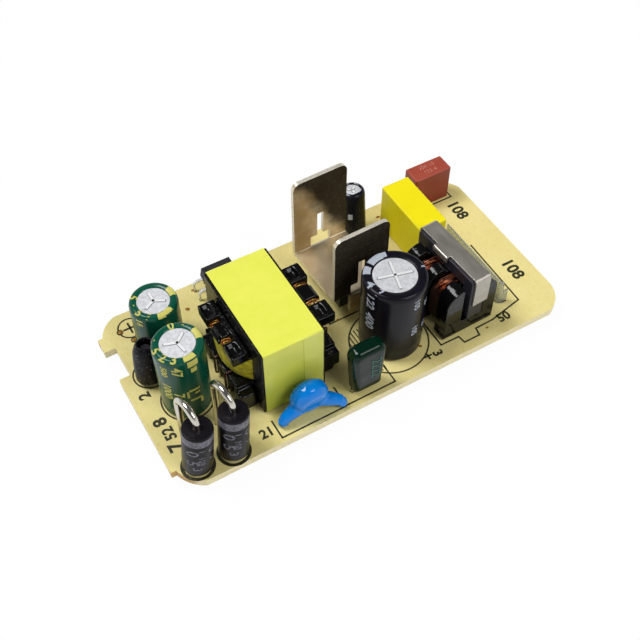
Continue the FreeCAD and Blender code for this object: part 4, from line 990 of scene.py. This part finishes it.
# Painted light: the front face is painted a greyer green, a painted reflection, and the top, shoulders and
# sides a deeper green.
crown = (green.across("Z") + (green.grain(1.5, 2) - 0.5)).beyond(14.4, 1.0)
body_green = green.blend(cloudy, tint(8, 24, 18), tint(16, 34, 26))
front = (-1 * green.facing("Y")).beyond(0.93, 0.12) * (1 - crown)
green.paint(front, tint(2, 32, 20), body_green)
green.relief(cloudy, 0.2, 0.4)
poured("film_capacitor_body", "green_tablet", 0.16, 16, green, "green_resin")
teal_ink = clouded("teal_ink", 0.4, 0.4, 2, tint(20, 84, 72), tint(34, 106, 92))
value = written("2222", 1.9, 0.04)
value.rotation_euler = (radians(90), radians(90), 0)
value.location = spot(37.5, 1.4, 6.6)
settle(joined([fixed(value)], "film_capacitor_print"), teal_ink, "green_resin")


# Common mode choke
# Two ferrite U cores closed end to end through a black bobbin with two windings of enamelled
# copper, clamped by a sprung steel strap. The bobbin carries the same varnish.
choke_x, choke_y, choke_turn_deg = 58.95, 11.65, 1.5
choke_turn = Matrix.Rotation(radians(choke_turn_deg), 4, "Z")
choke_place = Matrix.Translation(spot(choke_x, choke_y)) @ choke_turn
softened("choke_bobbin", "choke_frame", 0.16, varnished, "black_moulding", 3)
for side in ("front", "back"):
    softened("choke_core_" + side, "choke_ferrite_" + side, 0.2, ferrite, "ferrite")
steel = Finish("spring_steel", tint(142, 138, 130), 0.32, Metallic=0.75)
rubbing = steel.grain(1.2, 4, (1, 0.3, 1))
steel.paint(rubbing, tint(150, 144, 132), tint(196, 192, 184))
steel.set("Roughness", 0.26 + 0.2 * rubbing)
steel.relief(steel.grain(0.3, 3), 0.02, 0.4)
softened("choke_clamp", "steel_strap", 0.08, steel, "spring_steel")

winding_width, winding_height, winding_corner = 10.1, 9.5, 2.7
winding_middle = 5.45
turn_profile = (1.0, 1.012, 1.0, 0.968)


def wound(name, y0, y1, turns, node):
    """Turns of wire on one leg, each turn a rounded ridge in one long extrusion."""
    piece = added(bpy.ops.mesh.primitive_plane_add, (winding_width, winding_height, 1), size=mm,
                  rotation=(radians(90), 0, 0), location=(0, y0 * mm, winding_middle * mm))
    edit_all()
    bpy.ops.mesh.bevel(offset=winding_corner * mm, segments=7, affect="VERTICES")
    bpy.ops.mesh.select_all(action="SELECT")
    steps = turns * len(turn_profile)
    step = (y1 - y0) / steps
    size = 1.0
    for number in range(steps):
        bpy.ops.mesh.extrude_region_move(TRANSFORM_OT_translate={"value": (0, step * mm, 0)})
        wanted = 0.975 * turn_profile[number % len(turn_profile)]
        middle = (0, (y0 + (number + 1) * step) * mm, winding_middle * mm)
        bpy.ops.transform.resize(value=(wanted / size, 1, wanted / size), center_override=middle)
        size = wanted
    face_out()
    piece.name = piece.data.name = name
    piece.matrix_world = choke_place
    return settle(smooth(fixed(piece), 70), copper, "copper_enamel", node)


winding_length = 2.9
for side, start in (("front", -4.55), ("back", 0.55)):
    wound("choke_turns_" + side, start, start + winding_length, 9, "choke_winding_" + side)


# Line capacitor and fuse
# The capacitor is potted in a yellow box with sharp moulded edges; the fuse sits in a red
# brown one, with faint plain figures stamped on its top.
yellow = clouded("yellow_case", 0.42, 5.0, 2, tint(234, 216, 0), tint(246, 234, 6))
yellow.relief(yellow.grain(0.4, 3), 0.02, 0.5)
softened("line_capacitor_body", "yellow_box", 0.22, yellow, "yellow_case", 3)
brick = Finish("brown_case", tint(176, 72, 56), 0.46)
fired = brick.blend(brick.grain(3.0, 3), tint(152, 62, 46), tint(172, 80, 62))
# The sides of the box are painted darker than its top, painted shade.
brick.paint((1 - brick.facing("Z").beyond(0.5, 0.4)) * 0.5, fired, tint(104, 38, 20))
brick.relief(brick.grain(0.4, 3), 0.03, 0.5)
fuse = softened("fuse_body", "fuse_box", 0.25, brick, "brown_case", 3)
chalky = Finish("stamped_figures", tint(196, 128, 112), 0.5)
chalky.paint(chalky.grain(0.2, 3).beyond(0.5, 0.1), tint(172, 84, 68), tint(206, 150, 136))
fuse_x, fuse_y, row_shift = 71.4, 35.98, 0.75
fuse_top = max(corner.co.z for corner in fuse.data.vertices)
rows = []
for text, shift in (("250 10", row_shift), ("125 4", -row_shift)):
    row = written(text, 0.9, ink_height)
    row.location = spot(fuse_x, fuse_y + shift)
    row.location.z = fuse_top
    rows.append(fixed(row))
settle(joined(rows, "fuse_print"), chalky, "brown_case")


# Insulating film
# A strip of stiff clear polyester, standing beside the choke with one end hooked into a slot.
clear = Finish("clear_film", tint(206, 212, 212), 0.1, Transmission_Weight=0.82, IOR=1.4)
clear.relief(clear.grain(3.0, 2), 0.15, 0.4)
cut_edge = clear.facing("Z").beyond(0.7, 0.3)
clear.paint(cut_edge, tint(206, 212, 212), tint(250, 250, 250))
clear.set("Roughness", 0.06 + 0.12 * clear.grain(0.8, 3) + 0.5 * cut_edge)
wear("insulating_film", clear)


# Copper tracks
# Copper foil on the solder side, under the green lacquer, which looks lighter over it. The
# photograph does not show this side, so the tracks follow what each pair of joints must carry.
foil = clouded("lacquered_copper", 0.3, 2.0, 3, tint(38, 116, 66), tint(58, 146, 86))
foil_thickness = 0.06
foil_level = -board_thickness - foil_thickness / 2
track_levels = 7
track_step = 0.008
tracks = []
for number, (width, *points) in enumerate((
        (3.0, (4.4, 8.95), (11.5, 8.95)),
        (3.6, (7.4, 9.4), (7.0, 16.15), (5.33, 21.94)),
        (3.0, (3.77, 24.02), (8.15, 29.43), (5.0, 35.2)),
        (3.6, (10.5, 16.15), (12.2, 22.5), (11.65, 29.43)),
        (2.4, (10.5, 16.15), (16.1, 17.8), (16.1, 21.8)),
        (3.0, (4.3, 3.1), (10.84, 2.75), (16.1, 9.8), (16.1, 13.8)),
        (0.9, (11.65, 29.43), (16.0, 34.63), (20.22, 34.63)),
        (0.9, (5.0, 35.2), (9.0, 37.17), (20.22, 37.17)),
        (0.9, (30.38, 34.63), (38.0, 34.6), (41.85, 29.81)),
        (0.9, (30.38, 37.17), (50.0, 37.2), (52.93, 34.9)),
        (2.4, (34.2, 17.8), (43.68, 18.0)),
        (1.8, (34.2, 21.8), (38.0, 25.6), (46.57, 30.07)),
        (1.8, (34.2, 13.8), (40.0, 13.8), (45.12, 18.0)),
        (1.8, (54.78, 34.9), (50.2, 31.2), (44.74, 31.19)),
        (3.2, (34.2, 9.8), (43.5, 9.75)),
        (3.2, (48.5, 9.75), (54.96, 5.34)),
        (2.0, (31.0, 1.5), (34.01, 3.05)),
        (1.8, (20.4, 3.0), (10.84, 2.75)),
        (2.6, (39.09, 3.05), (43.5, 9.75)),
        (3.0, (54.67, 16.39), (54.0, 26.0)),
        (3.2, (62.97, 16.61), (62.15, 22.5)),
        (3.0, (63.26, 5.56), (75.0, 5.6), (75.0, 20.0), (62.15, 32.5)),
        (3.0, (62.15, 32.5), (68.86, 35.97)),
        (3.0, (73.94, 35.97), (76.0, 28.0)))):
    level = foil_level - number % track_levels * track_step
    tracks += strokes(points, width, foil_thickness, level, 0)
    for x, y in points:
        tracks.append(added(
            bpy.ops.mesh.primitive_cylinder_add, (width, width, foil_thickness), radius=mm / 2,
            depth=mm, vertices=32, location=spot(x, y, level - track_step / 2)))
settle(joined(tracks, "copper_tracks"), foil, "laminate")


# Parts on the solder side
# A controller chip under the transistor, a bridge rectifier by the line capacitor and a row
# of chip resistors, all soldered flat to the copper.
chip_black = clouded("chip_epoxy", 0.5, 0.3, 2, tint(28, 28, 30), tint(46, 46, 48))
chip_black.relief(chip_black.grain(0.2, 2), 0.02, 0.5)
softened("controller_chip", "controller", 0.06, chip_black, "black_moulding")
softened("bridge_rectifier", "bridge", 0.06, chip_black, "black_moulding")
resistor = clouded("chip_resistor", 0.4, 0.4, 2, tint(24, 24, 28), tint(44, 44, 48))
wear("chip_resistors", resistor)


# Floor, light and camera
# A white table under two large soft lights and a pale sky, seen from above and in front of the
# left end.
def background_rays(nodes):
    """1 for rays that show the background, straight or in metal and glass, and 0 for light."""
    rays = nodes.node("LightPath", {}, {}, "Is Camera Ray")
    for kind in ("Is Glossy Ray", "Is Transmission Ray"):
        rays = rays.largest(nodes.node("LightPath", {}, {}, kind))
    return rays


floor_gap = 0.2
floor = added(bpy.ops.mesh.primitive_plane_add, (6, 6, 1), size=1, location=(0, 0, -floor_gap * mm))
floor.name = "floor"
paper = Finish("floor_paper", (0.9, 0.9, 0.9, 1), 0.9)
white = paper.node("Emission", {}, {"Color": (1, 1, 1, 1), "Strength": 1.0})
shadowed_paper = Level(paper, paper.shader.outputs[0])
mostly_white = background_rays(paper) * 0.97
mixed = paper.node("MixShader", {}, {0: mostly_white, 1: shadowed_paper, 2: white})
paper.feed(paper.tree.nodes["Material Output"].inputs["Surface"], mixed)
floor.data.materials.append(paper.material)

sky = bpy.data.worlds.new("studio")
sky.use_nodes = True
bpy.context.scene.world = sky
studio = Nodes(sky.node_tree)
rays = background_rays(studio)
heading = studio.node("TexCoord", {}, {}, "Generated")
overhead = studio.node("SeparateXYZ", {}, {0: heading}, 2).beyond(0.33, 0.6)
backdrop = sky.node_tree.nodes["Background"]
backdrop.inputs["Color"].default_value = (1, 1, 1, 1)
shown = rays * (1 - 0.9 * overhead)
shed = (1 - rays) * (0.3 - 0.06 * overhead)
studio.feed(backdrop.inputs["Strength"], shown + shed)


def lamp(name, place, size, power, target=(0, 0, 0.01)):
    """A square soft light that faces the supply."""
    light = bpy.data.lights.new(name, "AREA")
    light.size = size
    light.energy = power
    piece = bpy.data.objects.new(name, light)
    piece.location = place
    piece.rotation_euler = (Vector(target) - Vector(place)).to_track_quat("-Z", "Y").to_euler()
    bpy.context.collection.objects.link(piece)


lamp("key_light", (-0.2, 0.18, 0.5), 0.22, 2.15)
lamp("fill_light", (0.16, -0.34, 0.42), 0.25, 1.25)

lens = bpy.data.cameras.new("camera")
lens.lens = 55.06
lens.sensor_width = 36
lens.clip_start = 0.01
camera = bpy.data.objects.new("camera", lens)
camera.location = (-0.057805, -0.095201, 0.145472)
camera.rotation_euler = (radians(37.780), 0, radians(-30.209))
bpy.context.collection.objects.link(camera)
bpy.context.scene.camera = camera
bpy.context.scene.view_settings.view_transform = "Standard"
